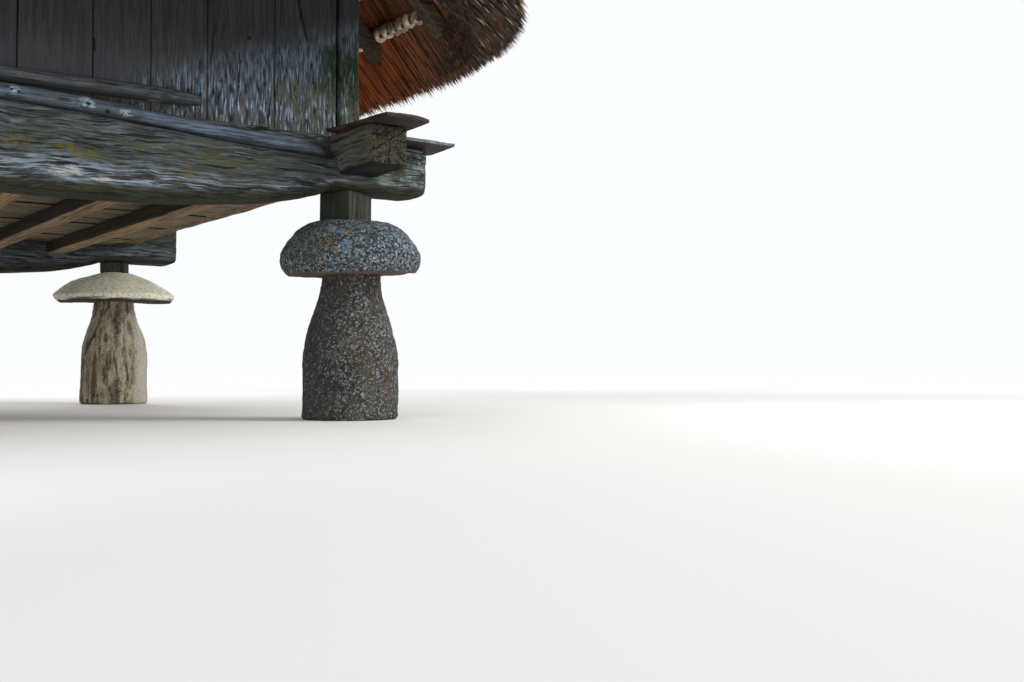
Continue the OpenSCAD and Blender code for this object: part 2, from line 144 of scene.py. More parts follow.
white = bpy.data.worlds.new("white_room")
white.use_nodes = True
bpy.context.scene.world = white
white.node_tree.nodes.clear()
room = Wire(white.node_tree)
plain_light = 0.66
seen = strongest([room.node("ShaderNodeLightPath", out="Is " + kind + " Ray")
                  for kind in ("Camera", "Glossy", "Transmission")])
sky = room.node("ShaderNodeBackground", {}, {
    "Color": (0.97, 0.985, 1, 1), "Strength": plain_light + seen * (1 - plain_light)})
room.node("ShaderNodeOutputWorld", {}, {"Surface": sky})


def hang_lamp(name, kind, place, aim, power, tint, **settings):
    lamp = bpy.data.lights.new(name, kind)
    lamp.energy, lamp.color = power, tint
    for setting, value in settings.items():
        setattr(lamp, setting, value)
    holder = new_object(name, lamp)
    holder.location = place
    holder.rotation_euler = (Vector(aim) - Vector(place)).to_track_quat("-Z", "Y").to_euler()


hang_lamp("key", "AREA", (9, -8, 6), (0.5, -1, 1.6), 900, (1, 0.97, 0.92), size=5)
hang_lamp("fill", "AREA", (-9, -7, 4), (0, 0, 2), 300, (0.92, 0.96, 1), size=6)
hang_lamp("back", "AREA", (4, 11, 6), (1, 2, 1.5), 450, (1, 0.97, 0.93), size=5)
hang_lamp("low", "SPOT", (-2.5, -7.5, 0.6), (0.9, -2.6, 1.6), 370, (1, 0.98, 0.95),
          shadow_soft_size=0.5, spot_size=radians(80), spot_blend=1.0)

reach = 60
ground = bpy.data.meshes.new("floor")
ground.from_pydata([(-reach, -reach, 0), (reach, -reach, 0), (reach, reach, 0),
                    (-reach, reach, 0)], [], [(0, 1, 2, 3)])
pale = bpy.data.materials.new("pale_floor")
pale.use_nodes = True
matt = pale.node_tree.nodes["Principled BSDF"]
matt.inputs["Base Color"].default_value = (0.8, 0.8, 0.8, 1)
matt.inputs["Roughness"].default_value = 0.9
ground.materials.append(pale)
sheet = Wire(pale.node_tree)
distance = sheet.vector("LENGTH", sheet.node("ShaderNodeTexCoord", out="Object"))
fading = band(distance, 6, 15) * sheet.node("ShaderNodeLightPath", out="Is Camera Ray")
bright = sheet.node("ShaderNodeEmission", {}, {"Color": (1, 1, 1, 1), "Strength": 1.0})
both = sheet.node("ShaderNodeMixShader", {}, {
    0: fading, 1: Wire(pale.node_tree, matt.outputs[0]), 2: bright})
pale.node_tree.links.new(both.socket, pale.node_tree.nodes["Material Output"].inputs[0])
new_object("floor", ground)

# Pillars
# Four round granite pillars that flare towards the ground. Each is hewn from one block and
# dressed with slanting strokes of the pick; two are a little taller, under the flatter stones.
corners = ("front_right", "front_left", "back_right", "back_left")


def rgb(red, green, blue):
    """A colour as it looks on a screen, 0 to 255, turned into light."""
    return tuple(((c / 255 + 0.055) / 1.055) ** 2.4 if c > 10 else c / 255 / 12.92
                 for c in (red, green, blue)) + (1,)


def speckle(place, scale, detail=3, rough=0.6, warp=0.0, out="Fac"):
    """Noise from about 0.2 to 0.8, at so many waves a metre or at three numbers of them."""
    if isinstance(scale, tuple):
        place, scale = place.vector("MULTIPLY", place, scale), 1
    return place.node("ShaderNodeTexNoise", {}, {"Vector": place, "Scale": scale,
                      "Detail": detail, "Roughness": rough, "Distortion": warp}, out)


def mix(amount, first, second):
    """One colour where the amount is 0 and the other where it is 1."""
    wire = next(w for w in (amount, first, second) if isinstance(w, Wire))
    first, second = (c if isinstance(c, Wire) else rgb(*c) for c in (first, second))
    return wire.node("ShaderNodeMix", {"data_type": "RGBA"}, {0: amount, 6: first, 7: second},
                     out=2)


def paint(colour, *layers):
    """Lays colours over a first one in turn, each given as its share and the colour."""
    for share, tint in layers:
        colour = mix(share, colour, tint)
    return colour


def stored(start, name, out="Fac"):
    return start.node("ShaderNodeAttribute", {"attribute_name": name}, {}, out)


def facing(place, way):
    """How far the surface faces a way: 1 straight towards it and -1 straight away from it."""
    return place.vector("DOT_PRODUCT", place.node("ShaderNodeNewGeometry", out="Normal"), way)


def finish(name, coat, depth=0.006):
    """A material from a function that gives colour, roughness and height over the surface."""
    material = bpy.data.materials.new(name)
    material.use_nodes = True
    tree = material.node_tree
    start = Wire(tree)
    colour, roughness, height = coat(start.node("ShaderNodeTexCoord", out="Object"))
    shader = tree.nodes["Principled BSDF"]
    bump = start.node("ShaderNodeBump", {}, {"Height": height, "Distance": depth,
                                             "Strength": 1.0})
    for socket, value in (("Base Color", colour), ("Roughness", roughness), ("Normal", bump)):
        tree.links.new(value.socket, shader.inputs[socket])
    shader.inputs["Specular IOR Level"].default_value = 0.25
    return material


def plain_mesh(name, shape):
    data = bpy.data.meshes.new(name)
    shape.to_mesh(data)
    shape.free()
    return data


def new_piece(name, mesh, *materials, smooth=True):
    """An object at the origin from a bmesh, its faces turned outwards."""
    bmesh.ops.recalc_face_normals(mesh, faces=mesh.faces)
    data = plain_mesh(name, mesh)
    for material in materials:
        data.materials.append(material)
    if smooth:
        data.shade_smooth()
    return new_object(name, data)


def stand_for(piece, slot, *nodes):
    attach(piece, "root")
    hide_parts(*nodes)


def lumps(point, waves):
    """Height at a point, in metres, from pairs of size in metres and waves a metre."""
    return sum(size * noise.noise(point * rate + Vector((rate, 2 * rate, 0)))
               for size, rate in waves)


def between(low, high, z):
    """The middle of a box in plan, at a height."""
    return Vector(((low.x + high.x) / 2, (low.y + high.y) / 2, z))


def evenly(start, stop, parts):
    """Numbers from a first one up to a last one, which is left out."""
    return [start + (stop - start) * i / parts for i in range(parts)]


def stepped(corners, step):
    """Spots along a line of corners, at most a step apart. The last corner is left out."""
    spots = []
    for (x0, y0), (x1, y1) in zip(corners, corners[1:]):
        parts = ceil(hypot(x1 - x0, y1 - y0) / step)
        spots += zip(evenly(x0, x1, parts), evenly(y0, y1, parts))
    return spots


def turned_stone(name, base, profile, waves, material, lean=(0, 0), **marks):
    """A closed stone from (radius, height) pairs, hewn a little uneven."""
    sides, step, pole_row = 96, 0.014, 9
    outline = stepped(profile, step) + profile[-1:]
    tilt = Euler((*lean, 0)).to_matrix()
    mesh = bmesh.new()
    skin = mesh.loops.layers.uv.new("skin")
    levels = {key: mesh.verts.layers.float.new(key) for key in marks}
    rings = [[mesh.verts.new((r * cos(2 * pi * j / sides), r * sin(2 * pi * j / sides), z))
              for j in range(sides)] for r, z in outline[1:-1]]
    foot, top = (mesh.verts.new((0, 0, outline[i][1])) for i in (0, -1))
    width = 2 * pi * max(r for r, z in outline) / sides

    def face(corners, places):
        for loop, (turn, row) in zip(mesh.faces.new(corners).loops, places):
            loop[skin].uv = (turn * width, row * step)

    for n, (low, high) in enumerate(zip(rings, rings[1:])):
        for j in range(sides):
            k = (j + 1) % sides
            face((low[j], low[k], high[k], high[j]),
                 ((j, n), (j + 1, n), (j + 1, n + 1), (j, n + 1)))
    last = len(rings)
    for j in range(sides):
        k = (j + 1) % sides
        face((foot, rings[0][k], rings[0][j]), ((j, -pole_row), (j + 1, 0), (j, 0)))
        face((top, rings[-1][j], rings[-1][k]),
             ((j, last + pole_row), (j, last), (j + 1, last)))
    mesh.normal_update()
    moves = [(v, v.normal * lumps(v.co + base, waves)) for v in mesh.verts]
    for v, move in moves:
        v.co = base + tilt @ (v.co + move)
        v.co.z = max(v.co.z, 0)
        for key, layer in levels.items():
            v[layer] = marks[key]
    return new_piece(name, mesh, material)


def salt_and_pepper(place, colour, dark, light, scale, share):
    """The dark and the light grains of granite over a colour."""
    sway = speckle(place, 130, 2, 0.5, out="Color")
    ragged = place.vector("ADD", place, place.vector("MULTIPLY", sway, (0.02, 0.02, 0.02)))
    grains = place.node("ShaderNodeTexVoronoi", {}, {"Vector": ragged, "Scale": scale},
                        out="Color").part("X")
    return paint(colour, (band(grains, 0.24, 0.14) * share, dark),
                 (band(grains, 0.80, 0.90) * share, light))


def hewn_granite(place):
    """Grey granite under slanting strokes with painted shade on its left side; where painted sun
    falls, cream streaks, brown runs and a painted highlight along the right edge.
    """
    skin = place.node("ShaderNodeUVMap", {"uv_map": "skin"})
    slanted = place.node("ShaderNodeMapping", {}, {0: skin, "Rotation": (0, 0, radians(32))})
    strokes = speckle(slanted, (70, 14, 1))
    wide_strokes = speckle(slanted, (26, 5, 1), 2)
    grit = speckle(place, 150, 2, 0.8)
    cloud = speckle(place, 4, 4)
    stone = paint(mix(band(cloud, 0.36, 0.64), (46, 47, 46), (68, 68, 66)),
                  (band(strokes, 0.46, 0.58) * 0.5, (104, 104, 100)),
                  (band(wide_strokes, 0.50, 0.38) * 0.45, (30, 31, 31)))
    stone = salt_and_pepper(place, stone, (24, 24, 25), (146, 148, 146), 120, 0.85)
    brown = band(speckle(place, 6, 5), 0.50, 0.66)
    # painted shade: the side that faces left is darkened
    left = band(facing(place, (-0.89, 0.1, 0)), 0.2, 0.9)
    # painted sunlight: its share on this stone turns the streaks cream and shows the brown runs
    # and grit
    bleached = stored(place, "bleached")
    streaks = speckle(skin, (16, 4, 1), 5, 0.72, 0.5)
    runs = band(speckle(skin, (11, 2.6, 1), 5, 0.7, 0.4), 0.50, 0.66)
    # a painted highlight down the right edge of the stone in painted sun
    painted_highlight_edge = band(place.part("X") + cloud * 0.1, 2.36, 2.48) * band(streaks, 0.60, 0.50)
    stone = paint(stone,
                  (brown * 0.42, (84, 70, 50)),
                  (left * 0.55, (34, 35, 34)),
                  (band(streaks, 0.38, 0.60) * bleached * 0.85, (198, 190, 162)),
                  (runs * bleached * 0.7, (116, 84, 58)),
                  (painted_highlight_edge * bleached * 0.75, (208, 204, 192)),
                  (band(grit, 0.50, 0.40) * bleached * 0.7, (50, 42, 34)))
    return stone, 0.82 + grit * 0.14, strokes * 0.9 + wide_strokes * 1.0 + grit * 0.35


pillar_stone = finish("tooled_granite", hewn_granite, 0.016)
neck, flare, flare_rows = 0.18, 0.56, 8
worn_foot, in_the_cap = 0.015, 0.004
# each pillar's share of painted sunlight
for corner, bleached in zip(corners, (0.0, 0.15, 1.0, 0.1)):
    low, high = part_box("pillar_" + corner)
    tall, foot = high.z, (high.x - low.x) / 2
    profile = [(0, 0), (foot - worn_foot, 0), (foot, 0.02), (foot, tall - flare)]
    profile += [(neck + (foot - neck) * (1 + cos(pi * i / flare_rows)) / 2,
                 tall - flare * (1 - i / flare_rows)) for i in range(1, flare_rows + 1)]
    profile.append((0, tall + in_the_cap))
    pillar = turned_stone("pillar_stone_" + corner, between(low, high, 0), profile,
                          [(0.016, 2.6), (0.007, 9), (0.004, 30)], pillar_stone,
                          bleached=bleached)
    stand_for(pillar, "granite", "pillar_" + corner)

# Staddle stones
# Mushroom-shaped granite caps that keep rats off the timber: two thick domed ones and two
# flatter, wider ones. They carry crusts of grey lichen and spots of rust-coloured lichen.


def lichened_granite(place):
    """Speckled granite with lichen, paler to the right partly as painted light, cream as painted
    sunlight on the stone in sun, brown below, darker there as painted shade.
    """
    crust = speckle(place, 70, 3, 0.6, 0.3)
    flakes = speckle(place, 44, 4, 0.7, 0.3)
    cloud = speckle(place, 5, 4)
    up = facing(place, (0, 0, 1))
    # pale crust on the side that faces right: partly lichen, partly painted light
    right = band(facing(place, (0.9, -0.4, 0)), 0.3, 0.95)
    thicker = band(speckle(place, 9, 4), 0.42, 0.60)
    stone = paint(mix(band(cloud, 0.38, 0.62), (44, 52, 58), (62, 76, 86)),
                  (band(crust, 0.50, 0.60) * (0.45 + thicker * 0.5), (118, 138, 154)),
                  (band(crust, 0.54, 0.62) * right * 0.8, (172, 190, 204)),
                  (band(place.part("Z") + cloud * 0.2, 1.18, 1.08) * 0.3, (86, 82, 80)),
                  (band(flakes, 0.50, 0.42) * 0.9, (26, 30, 31)))
    stone = salt_and_pepper(place, stone, (22, 25, 26), (158, 168, 168), 115, 0.8)
    # green-grey on the upper left: algae, and painted shade there as well
    upper_left = facing(place, (-0.75, -0.1, 0.65)) + (cloud - 0.5) * 1.4
    rusty = band(speckle(place, 22, 3), 0.58, 0.63) * band(speckle(place, 3.5, 2), 0.44, 0.56)
    blue = band(speckle(place, 7, 4, 0.6), 0.58, 0.68)
    # painted sunlight: the cream that the stone in painted sun gets, with its dark crust
    bare = paint(mix(band(flakes, 0.38, 0.52), (196, 193, 160), (240, 238, 222)),
                 (band(crust, 0.42, 0.34) * 0.6, (84, 82, 62)))
    bleached = stored(place, "bleached")
    stone = paint(stone,
                  (band(upper_left, 0.45, 0.95) * 0.5, (56, 68, 54)),
                  (rusty * 0.85, (106, 82, 36)),
                  (blue * 0.55, (100, 120, 142)),
                  (bleached * band(up, -0.8, -0.6), bare),
                  # the underside: brown, and darker as painted shade under the stone in painted
                  # sun
                  (band(up, -0.6, -0.85), mix(bleached, (96, 86, 72), (60, 52, 43))))
    return stone, 0.86 + crust * 0.12, flakes * 0.8 + crust * 0.5 + cloud * 0.4


cap_stone = finish("lichened_granite", lichened_granite, 0.016)
seat, inset, dome_rows = 0.16, 0.012, 9
# each stone's lean and its share of painted sunlight
for corner, lean, bleached in zip(corners, ((0.028, -0.045), (-0.02, 0.02), (0.02, -0.015),
                                            (0.01, 0.03)), (0.0, 0.25, 0.95, 0.3)):
    low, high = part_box("staddle_" + corner)
    rim, thick = (high.x - low.x) / 2, high.z - low.z
    roundness, edge = (0.85, 0.09) if rim < 0.5 else (0.25, 0.06)
    rim -= inset
    profile = [(0, 0), (rim - 0.036, 0.0), (rim - 0.029, 0.006), (rim - 0.008, edge * 0.45),
               (rim, edge * 0.8)]
    for i in range(dome_rows + 1):
        turn, share = pi / 2 * i / dome_rows, i / dome_rows
        r_round, r_cone = seat + (rim - seat) * cos(turn), rim + (seat - rim) * share
        z_round, z_cone = edge + (thick - edge) * sin(turn), edge + (thick - edge) * share
        profile.append((r_round * roundness + r_cone * (1 - roundness),
                        z_round * roundness + z_cone * (1 - roundness)))
    profile.append((0, thick))
    staddle = turned_stone("staddle_stone_" + corner, between(low, high, low.z), profile,
                           [(0.022, 2.2), (0.012, 6), (0.005, 22)], cap_stone, lean,
                           bleached=bleached)
    stand_for(staddle, "staddle_granite", "staddle_" + corner)

# Pads
# Short oak blocks between stone and timber. Each is set a little askew, its grain upright,
# green with algae and darker with painted shade on the side that faces -X.


def grown_tree(name, inputs, build):
    """Geometry nodes with named inputs, the last of them the finish that the result gets."""
    tree = bpy.data.node_groups.new(name, "GeometryNodeTree")
    for label, kind in inputs.items():
        tree.interface.new_socket(label, in_out="INPUT", socket_type="NodeSocket" + kind)
    tree.interface.new_socket("Shape", in_out="OUTPUT", socket_type="NodeSocketGeometry")
    entry = tree.nodes.new("NodeGroupInput")
    *wires, coat = [Wire(tree, socket) for socket in entry.outputs[:len(inputs)]]
    shape = build(*wires)
    shape = shape.node("GeometryNodeSetMaterial", {}, {"Geometry": shape, "Material": coat})
    leaving = tree.nodes.new("NodeGroupOutput")
    tree.links.new(shape.socket, leaving.inputs[0])
    return tree


def named(start, label, kind="FLOAT_VECTOR"):
    return start.node("GeometryNodeInputNamedAttribute", {"data_type": kind}, {"Name": label})


def store(shape, label, value, kind="FLOAT_VECTOR", domain="POINT"):
    return shape.node("GeometryNodeStoreNamedAttribute", {"data_type": kind, "domain": domain},
                      {"Geometry": shape, "Name": label, "Value": value})


def same(value):
    """A vector of one value three times."""
    return value.node("ShaderNodeCombineXYZ", {}, {0: value, 1: value, 2: value})


def placed(points, shape, turn, size):
    return points.node("GeometryNodeInstanceOnPoints", {}, {
        "Points": points, "Instance": shape, "Rotation": turn, "Scale": size})


def realized(shape):
    return shape.node("GeometryNodeRealizeInstances", {}, {0: shape})


def ruffled(shape, push, reach):
    """A shape whose points a colour pushes about, by up to half the reach each way."""
    push = shape.vector("MULTIPLY", shape.vector("SUBTRACT", push, (0.5, 0.5, 0.5)), reach)
    return shape.node("GeometryNodeSetPosition", {}, {"Geometry": shape, "Offset": push})


def stand_timbers(points, along, across, wave):
    """A hewn timber at each point, by its stored size and turn."""
    block = points.node("GeometryNodeMeshCube", {}, {
        "Size": (1, 1, 1), "Vertices X": across, "Vertices Y": 2, "Vertices Z": along})
    block = store(block, "local", points.node("GeometryNodeInputPosition"))
    turn = points.node("FunctionNodeEulerToRotation", {}, {0: named(points, "turn")})
    shape = realized(placed(points, block, turn, named(points, "size")))
    shift = shape.vector("MULTIPLY", same(named(shape, "tone", "FLOAT")), (37, 23, 51))
    local = shape.vector("MULTIPLY", named(shape, "local"), named(shape, "size"))
    shape = store(shape, "grain", shape.vector("ADD", local, shift))
    waves = speckle(named(shape, "grain"), (6, 6, 2.2), 2, 0.6, out="Color")
    return ruffled(shape, waves, same(wave))


hewn = grown_tree("hewn_timbers", {"Points": "Geometry", "Along": "Int", "Across": "Int",
                                   "Wave": "Float", "Finish": "Material"}, stand_timbers)


def grow(name, data, tree, values, round_edge=0):
    """Runs a geometry node tree on a mesh and returns the result as a plain piece."""
    seedbed = new_object(name + "_seed", data)
    growth = seedbed.modifiers.new("growth", "NODES")
    growth.node_group = tree
    for item in tree.interface.items_tree:
        if item.in_out == "INPUT" and item.name in values:
            growth[item.identifier] = values[item.name]
    if round_edge:
        edge = seedbed.modifiers.new("edge", "BEVEL")
        edge.width, edge.segments, edge.limit_method = round_edge, 2, "ANGLE"
        edge.angle_limit = radians(50)
    graph = bpy.context.evaluated_depsgraph_get()
    shape = bpy.data.meshes.new_from_object(seedbed.evaluated_get(graph))
    shape.name = name
    bpy.data.objects.remove(seedbed)
    return new_object(name, shape)


def timbers(name, members, coat, along, across, wave, round_edge):
    """Hewn timbers, each given by its centre, its size and its turn, long side along Z.
    Along and across count their points, and wave is how far the faces stray."""
    dice = random.Random(name)
    data = bpy.data.meshes.new(name + "_points")
    data.from_pydata([m[0] for m in members], [], [])
    for label, values in (("size", [m[1] for m in members]), ("turn", [m[2] for m in members])):
        marks = data.attributes.new(label, "FLOAT_VECTOR", "POINT").data
        for item, value in zip(marks, values):
            item.vector = value
    for item in data.attributes.new("tone", "FLOAT", "POINT").data:
        item.value = dice.random()
    return grow(name, data, hewn, {"Along": along, "Across": across, "Wave": wave,
                                   "Finish": coat}, round_edge)


def grain_of(place, axis=None):
    """Where a spot lies in its timber, Z along the grain, and the tone of that timber."""
    if axis is None:
        return stored(place, "grain", "Vector"), stored(place, "tone")
    spin = {"X": (0, radians(90), 0), "Y": (radians(90), 0, 0), "Z": (0, 0, 0)}[axis]
    grain = place.node("ShaderNodeMapping", {}, {0: place, "Rotation": spin})
    return grain, speckle(grain, 1.3, 1)


def old_wood(dark, light, stain, below=None, axis=None):
    """A coat of weathered wood, with another pair of colours, painted light from below, for the
    faces that look down.
    """
    def coat(place):
        grain, tone = grain_of(place, axis)
        fibre = speckle(grain, (95, 95, 4), 5, 0.68)
        streak = speckle(grain, (26, 26, 1.1))
        crack = band(speckle(grain, (48, 48, 1.3), 2, 0.5, 0.3), 0.62, 0.68)
        knot = band(speckle(grain, (7, 7, 2.6), 1), 0.70, 0.76)
        lines = band(fibre * 0.65 + streak * 0.45, 0.42, 0.66)
        colour = mix(lines, dark, light)
        colour = mix(band(speckle(place, 2.6, 4), 0.50, 0.68) * 0.5, colour, stain)
        if below:
            # painted light from below: the faces that look down get the other pair of colours
            down = band(facing(place, (0, 0, 1)), -0.45, -0.75)
            colour = mix(down, colour, mix(lines, *below))
        colour = paint(colour, (band(tone, 0, 1) * 0.3, dark), (knot * 0.6, (52, 42, 34)),
                       (crack * 0.85, (24, 21, 18)))
        return colour, 0.8 + fibre * 0.15, fibre * 0.45 + streak * 0.5 - crack * 0.9
    return coat


def mossy_oak_painted_shade(place):
    colour, rough, height = old_wood((28, 29, 26), (74, 74, 70), (50, 54, 42))(place)
    # the side that faces -X is green with algae and darker with painted shade
    painted_shade_side = band(facing(place, (1, 0, 0)), -0.3, -0.7)
    return mix(painted_shade_side * 0.7, colour, (26, 32, 16)), rough, height


pad_wood = finish("mossy_oak_painted_shade", mossy_oak_painted_shade)
pad_wide, pad_turn, sunk = 0.232, 24, 0.012
for corner, way in zip(corners, (1, -1, -1, 1)):
    low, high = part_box("pad_" + corner)
    block = ((low + high) / 2 - Vector((0, 0, sunk / 2)),
             (pad_wide, pad_wide, high.z - low.z + sunk), (0, 0, radians(way * pad_turn)))
    pad = timbers("pad_block_" + corner, [block], pad_wood, along=10, across=8, wave=0.014,
                  round_edge=0.012)
    stand_for(pad, "pad_oak", "pad_" + corner)

# Log beams
# Four hewn chestnut logs, half-lapped in pairs, their ends running past the corners. The
# front and back ones hang deeper in the middle and have a ledge along the outer edge.
span = 2.3                                   # from the middle to the axis of a log
beam_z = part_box("pad_front_right")[1].z      # the underside of the front log's ends
long_half, side_half = 0.15, 0.13            # half the width of the logs along X and along Y
long_end, side_end = 2.8, 2.85               # from the middle to the end of a log
log_high, tail_high, lap_high = 0.34, 0.315, 0.13
wane, side_wane, lap_wane = 0.048, 0.075, 0.03
ledge_low, ledge_rise = 0.185, 0.11
belly, belly_half, belly_power = 0.155, span - 0.15, 4
back_extra, back_shift, side_rise = 0.085, 0.045, 0.09

# spots on the front log: X, Z and the reach along both
bare_spots = [(0.57, 1.36, 0.09, 0.030), (0.74, 1.33, 0.07, 0.018)]
ochre_spots = [(0.30, 1.49, 0.12, 0.035), (0.58, 1.48, 0.09, 0.03), (0.68, 1.45, 0.10, 0.025),
               (1.25, 1.41, 0.06, 0.035)]
olive_spots = [(0.70, 1.62, 0.14, 0.012), (0.36, 1.54, 0.16, 0.03), (1.00, 1.54, 0.20, 0.03),
               (1.45, 1.50, 0.22, 0.05)]


def patches(place, spots, scale):
    """1 inside ragged spots on the front faces, each given by X, Z and its reach along both."""
    ragged = speckle(place, (scale, scale, scale * 2.4), 5, 0.65)
    found = []
    for x, z, wide, tall in spots:
        off = place.vector("SUBTRACT", place, (x, 0, z))
        off = place.vector("LENGTH", place.vector("MULTIPLY", off, (1 / wide, 0, 1 / tall)))
        found.append(band(off + (ragged - 0.5) * 2.6, 1.05, 0.75))
    return strongest(found)


def log_grain(place, axis):
    """Noise drawn out along a log: the way to draw more of it, then fibres, grain, streaks."""
    sway = (speckle(place, 3.2, 2) - 0.5) * 0.07
    flow = place.vector("ADD", place, place.node("ShaderNodeCombineXYZ", {}, {2: sway}))

    def drawn(along, across, detail, rough, warp=0.0):
        scale = (along, across, across) if axis == "X" else (across, along, across)
        return speckle(flow, scale, detail, rough, warp)

    return drawn, drawn(8, 130, 3, 0.65), drawn(2.6, 50, 5, 0.7), drawn(4.5, 75, 4, 0.7)


def grey_log(fibre, grain, cloud):
    return paint(mix(band(grain, 0.38, 0.60), (32, 35, 36), (70, 76, 78)),
                 (band(fibre, 0.50, 0.64) * 0.65, (108, 118, 126)),
                 (band(cloud, 0.46, 0.60) * 0.4, (56, 60, 44)))


def cracked(colour, drawn, fibre, grain, streak, shown):
    """The last of a log's coat: cracks where they are shown, roughness and height."""
    crack = band(drawn(3.2, 75, 3, 0.55, 0.25), 0.60, 0.64) * shown
    return (mix(crack * 0.9, colour, (18, 18, 17)), 0.84 + fibre * 0.12,
            grain * 0.7 + fibre * 0.4 + streak * 0.4 - crack * 1.1)


def long_log_coat(place):
    """The logs along X: grey, whitish low down, with ochre, olive and bare spots in front."""
    drawn, fibre, grain, streak = log_grain(place, "X")
    worn, under = stored(place, "worn"), stored(place, "under")
    x, y, z = (place.part(axis) for axis in "XYZ")
    cloud = speckle(place, 2.4, 4)
    front, face = band(y, -2.35, -2.42), 1 - under
    left = band(x, 1.9, 0.9) * front
    low = band(z + (cloud - 0.5) * 0.25, 1.50, 1.36) * face
    bare = patches(place, bare_spots, 22) * band(streak, 0.45, 0.55)
    crumbs = speckle(place, (30, 30, 60), 3, 0.7)
    olive = patches(place, olive_spots, 14) * band(crumbs, 0.46, 0.58)
    ochre = patches(place, ochre_spots, 16) * band(crumbs, 0.38, 0.56)
    mossy = band(x + cloud * 0.8, 1.7, 2.3) * face * front
    # broken pale ridges side by side near the lower edge, dark between them
    strands = drawn(2.4, 38, 3, 0.55, 0.4)
    near = worn * band(x, 1.05, 1.35) * band(x, 2.42, 2.25) * front
    ridge = near * band(strands, 0.53, 0.59) * band(streak, 0.34, 0.50)
    end = band(x, 2.42, 2.46) * face * front
    pale_end = end * band(streak, 0.46, 0.54) * band(speckle(place, 11, 4), 0.58, 0.44)
    damp = mix(band(fibre, 0.4, 0.6), (20, 21, 14), (52, 54, 32))
    colour = paint(grey_log(fibre, grain, cloud),
                   (low * band(streak, 0.48, 0.57) * (0.35 + left * 0.5), (136, 148, 164)),
                   (low * band(streak, 0.45, 0.39) * 0.85, (20, 22, 24)),
                   (bare * 0.85, (168, 168, 164)),
                   (olive * 0.7, (72, 76, 28)),
                   (ochre * 0.7, (92, 84, 26)),
                   (mossy * (0.5 - band(streak, 0.48, 0.58) * 0.35), (50, 58, 38)),
                   (near * band(strands, 0.47, 0.41) * 0.9, (16, 18, 18)),
                   (ridge * 0.85, (150, 160, 172)),
                   (end * band(speckle(place, 13, 4), 0.50, 0.58) * 0.6, (62, 68, 36)),
                   (pale_end * 0.75, (132, 144, 148)),
                   (end * band(streak, 0.44, 0.39) * 0.85, (16, 18, 16)),
                   (under * 0.92, damp))
    return cracked(colour, drawn, fibre, grain, streak, 1 - under * 0.8)


def side_log_coat(place):
    """The logs along Y: light brown underneath between the crossings, partly dry wood and partly
    painted light from below, near-black underneath outside them as painted shade.
    """
    drawn, fibre, grain, streak = log_grain(place, "Y")
    along, cloud = abs(place.part("Y")), speckle(place, 2.4, 4)
    below = band(facing(place, (0, 0, 1)), -0.3, -0.7)
    outside = band(along, 2.14, 2.18)
    # the undersides between the crossings: partly dry wood, partly painted light from below;
    # outside the crossings they get near-black painted shade
    dry = mix(band(fibre * 0.5 + grain * 0.5, 0.42, 0.6), (72, 58, 40), (146, 120, 86))
    brown = mix(band(grain, 0.4, 0.6), (58, 54, 46), (96, 90, 78))
    tip = band(along + (cloud - 0.5) * 0.2, 2.55, 2.86)
    colour = paint(grey_log(fibre, grain, cloud), (outside * 0.5, brown),
                   (tip * 0.6, (62, 60, 40)), (below, mix(outside, dry, (20, 19, 15))))
    return cracked(colour, drawn, fibre, grain, streak, 1 - below * 0.6)


def log_end_coat(place):
    """End grain with splits that run out from the pith, moss and faint rings."""
    flat = place.node("ShaderNodeUVMap", {"uv_map": "end"})
    across, up = flat.part("X"), flat.part("Y")
    far = flat.vector("LENGTH", flat)
    wobble = speckle(place, 9, 3) - 0.5
    turn = across.math("ARCTAN2", up, across) + wobble * 0.7
    split = abs(across.math("FRACT", turn * 1.27 + 0.3) - 0.5)
    split = band(split, 0.085, 0.02) * band(far + wobble * 0.08, 0.015, 0.03)
    rings = (far * 330 + wobble * 30).sine()
    rough = speckle(place, 70, 4, 0.7)
    moss = speckle(place, 16, 5, 0.65)
    colour = paint(mix(band(rough, 0.40, 0.60), (24, 23, 19), (78, 76, 66)),
                   (band(rings, 0.0, 1.0) * 0.35, (30, 27, 23)),
                   (band(moss, 0.48, 0.58) * 0.7, (62, 64, 34)),
                   (band(moss, 0.62, 0.66) * 0.8, (118, 118, 96)),
                   (split * 0.9, (14, 13, 11)))
    return colour, 0.9 + rough * 0.08, rough * 0.6 + rings * 0.2 + moss * 0.4 - split * 1.6


long_log = finish("hewn_log_x", long_log_coat, 0.010)
side_log = finish("hewn_log_y", side_log_coat, 0.010)
log_end = finish("log_end", log_end_coat, 0.010)


def ledge_level(x):
    """Height of the ledge over the underside of the log's ends: it rises to the middle."""
    rise = 0 if abs(x) >= belly_half else (1 + cos(pi * x / belly_half)) / 2
    return ledge_low + ledge_rise * rise


def full_bow(x, reach):
    return 0 if abs(x) >= reach else (1 - (abs(x) / reach) ** belly_power) ** 0.8


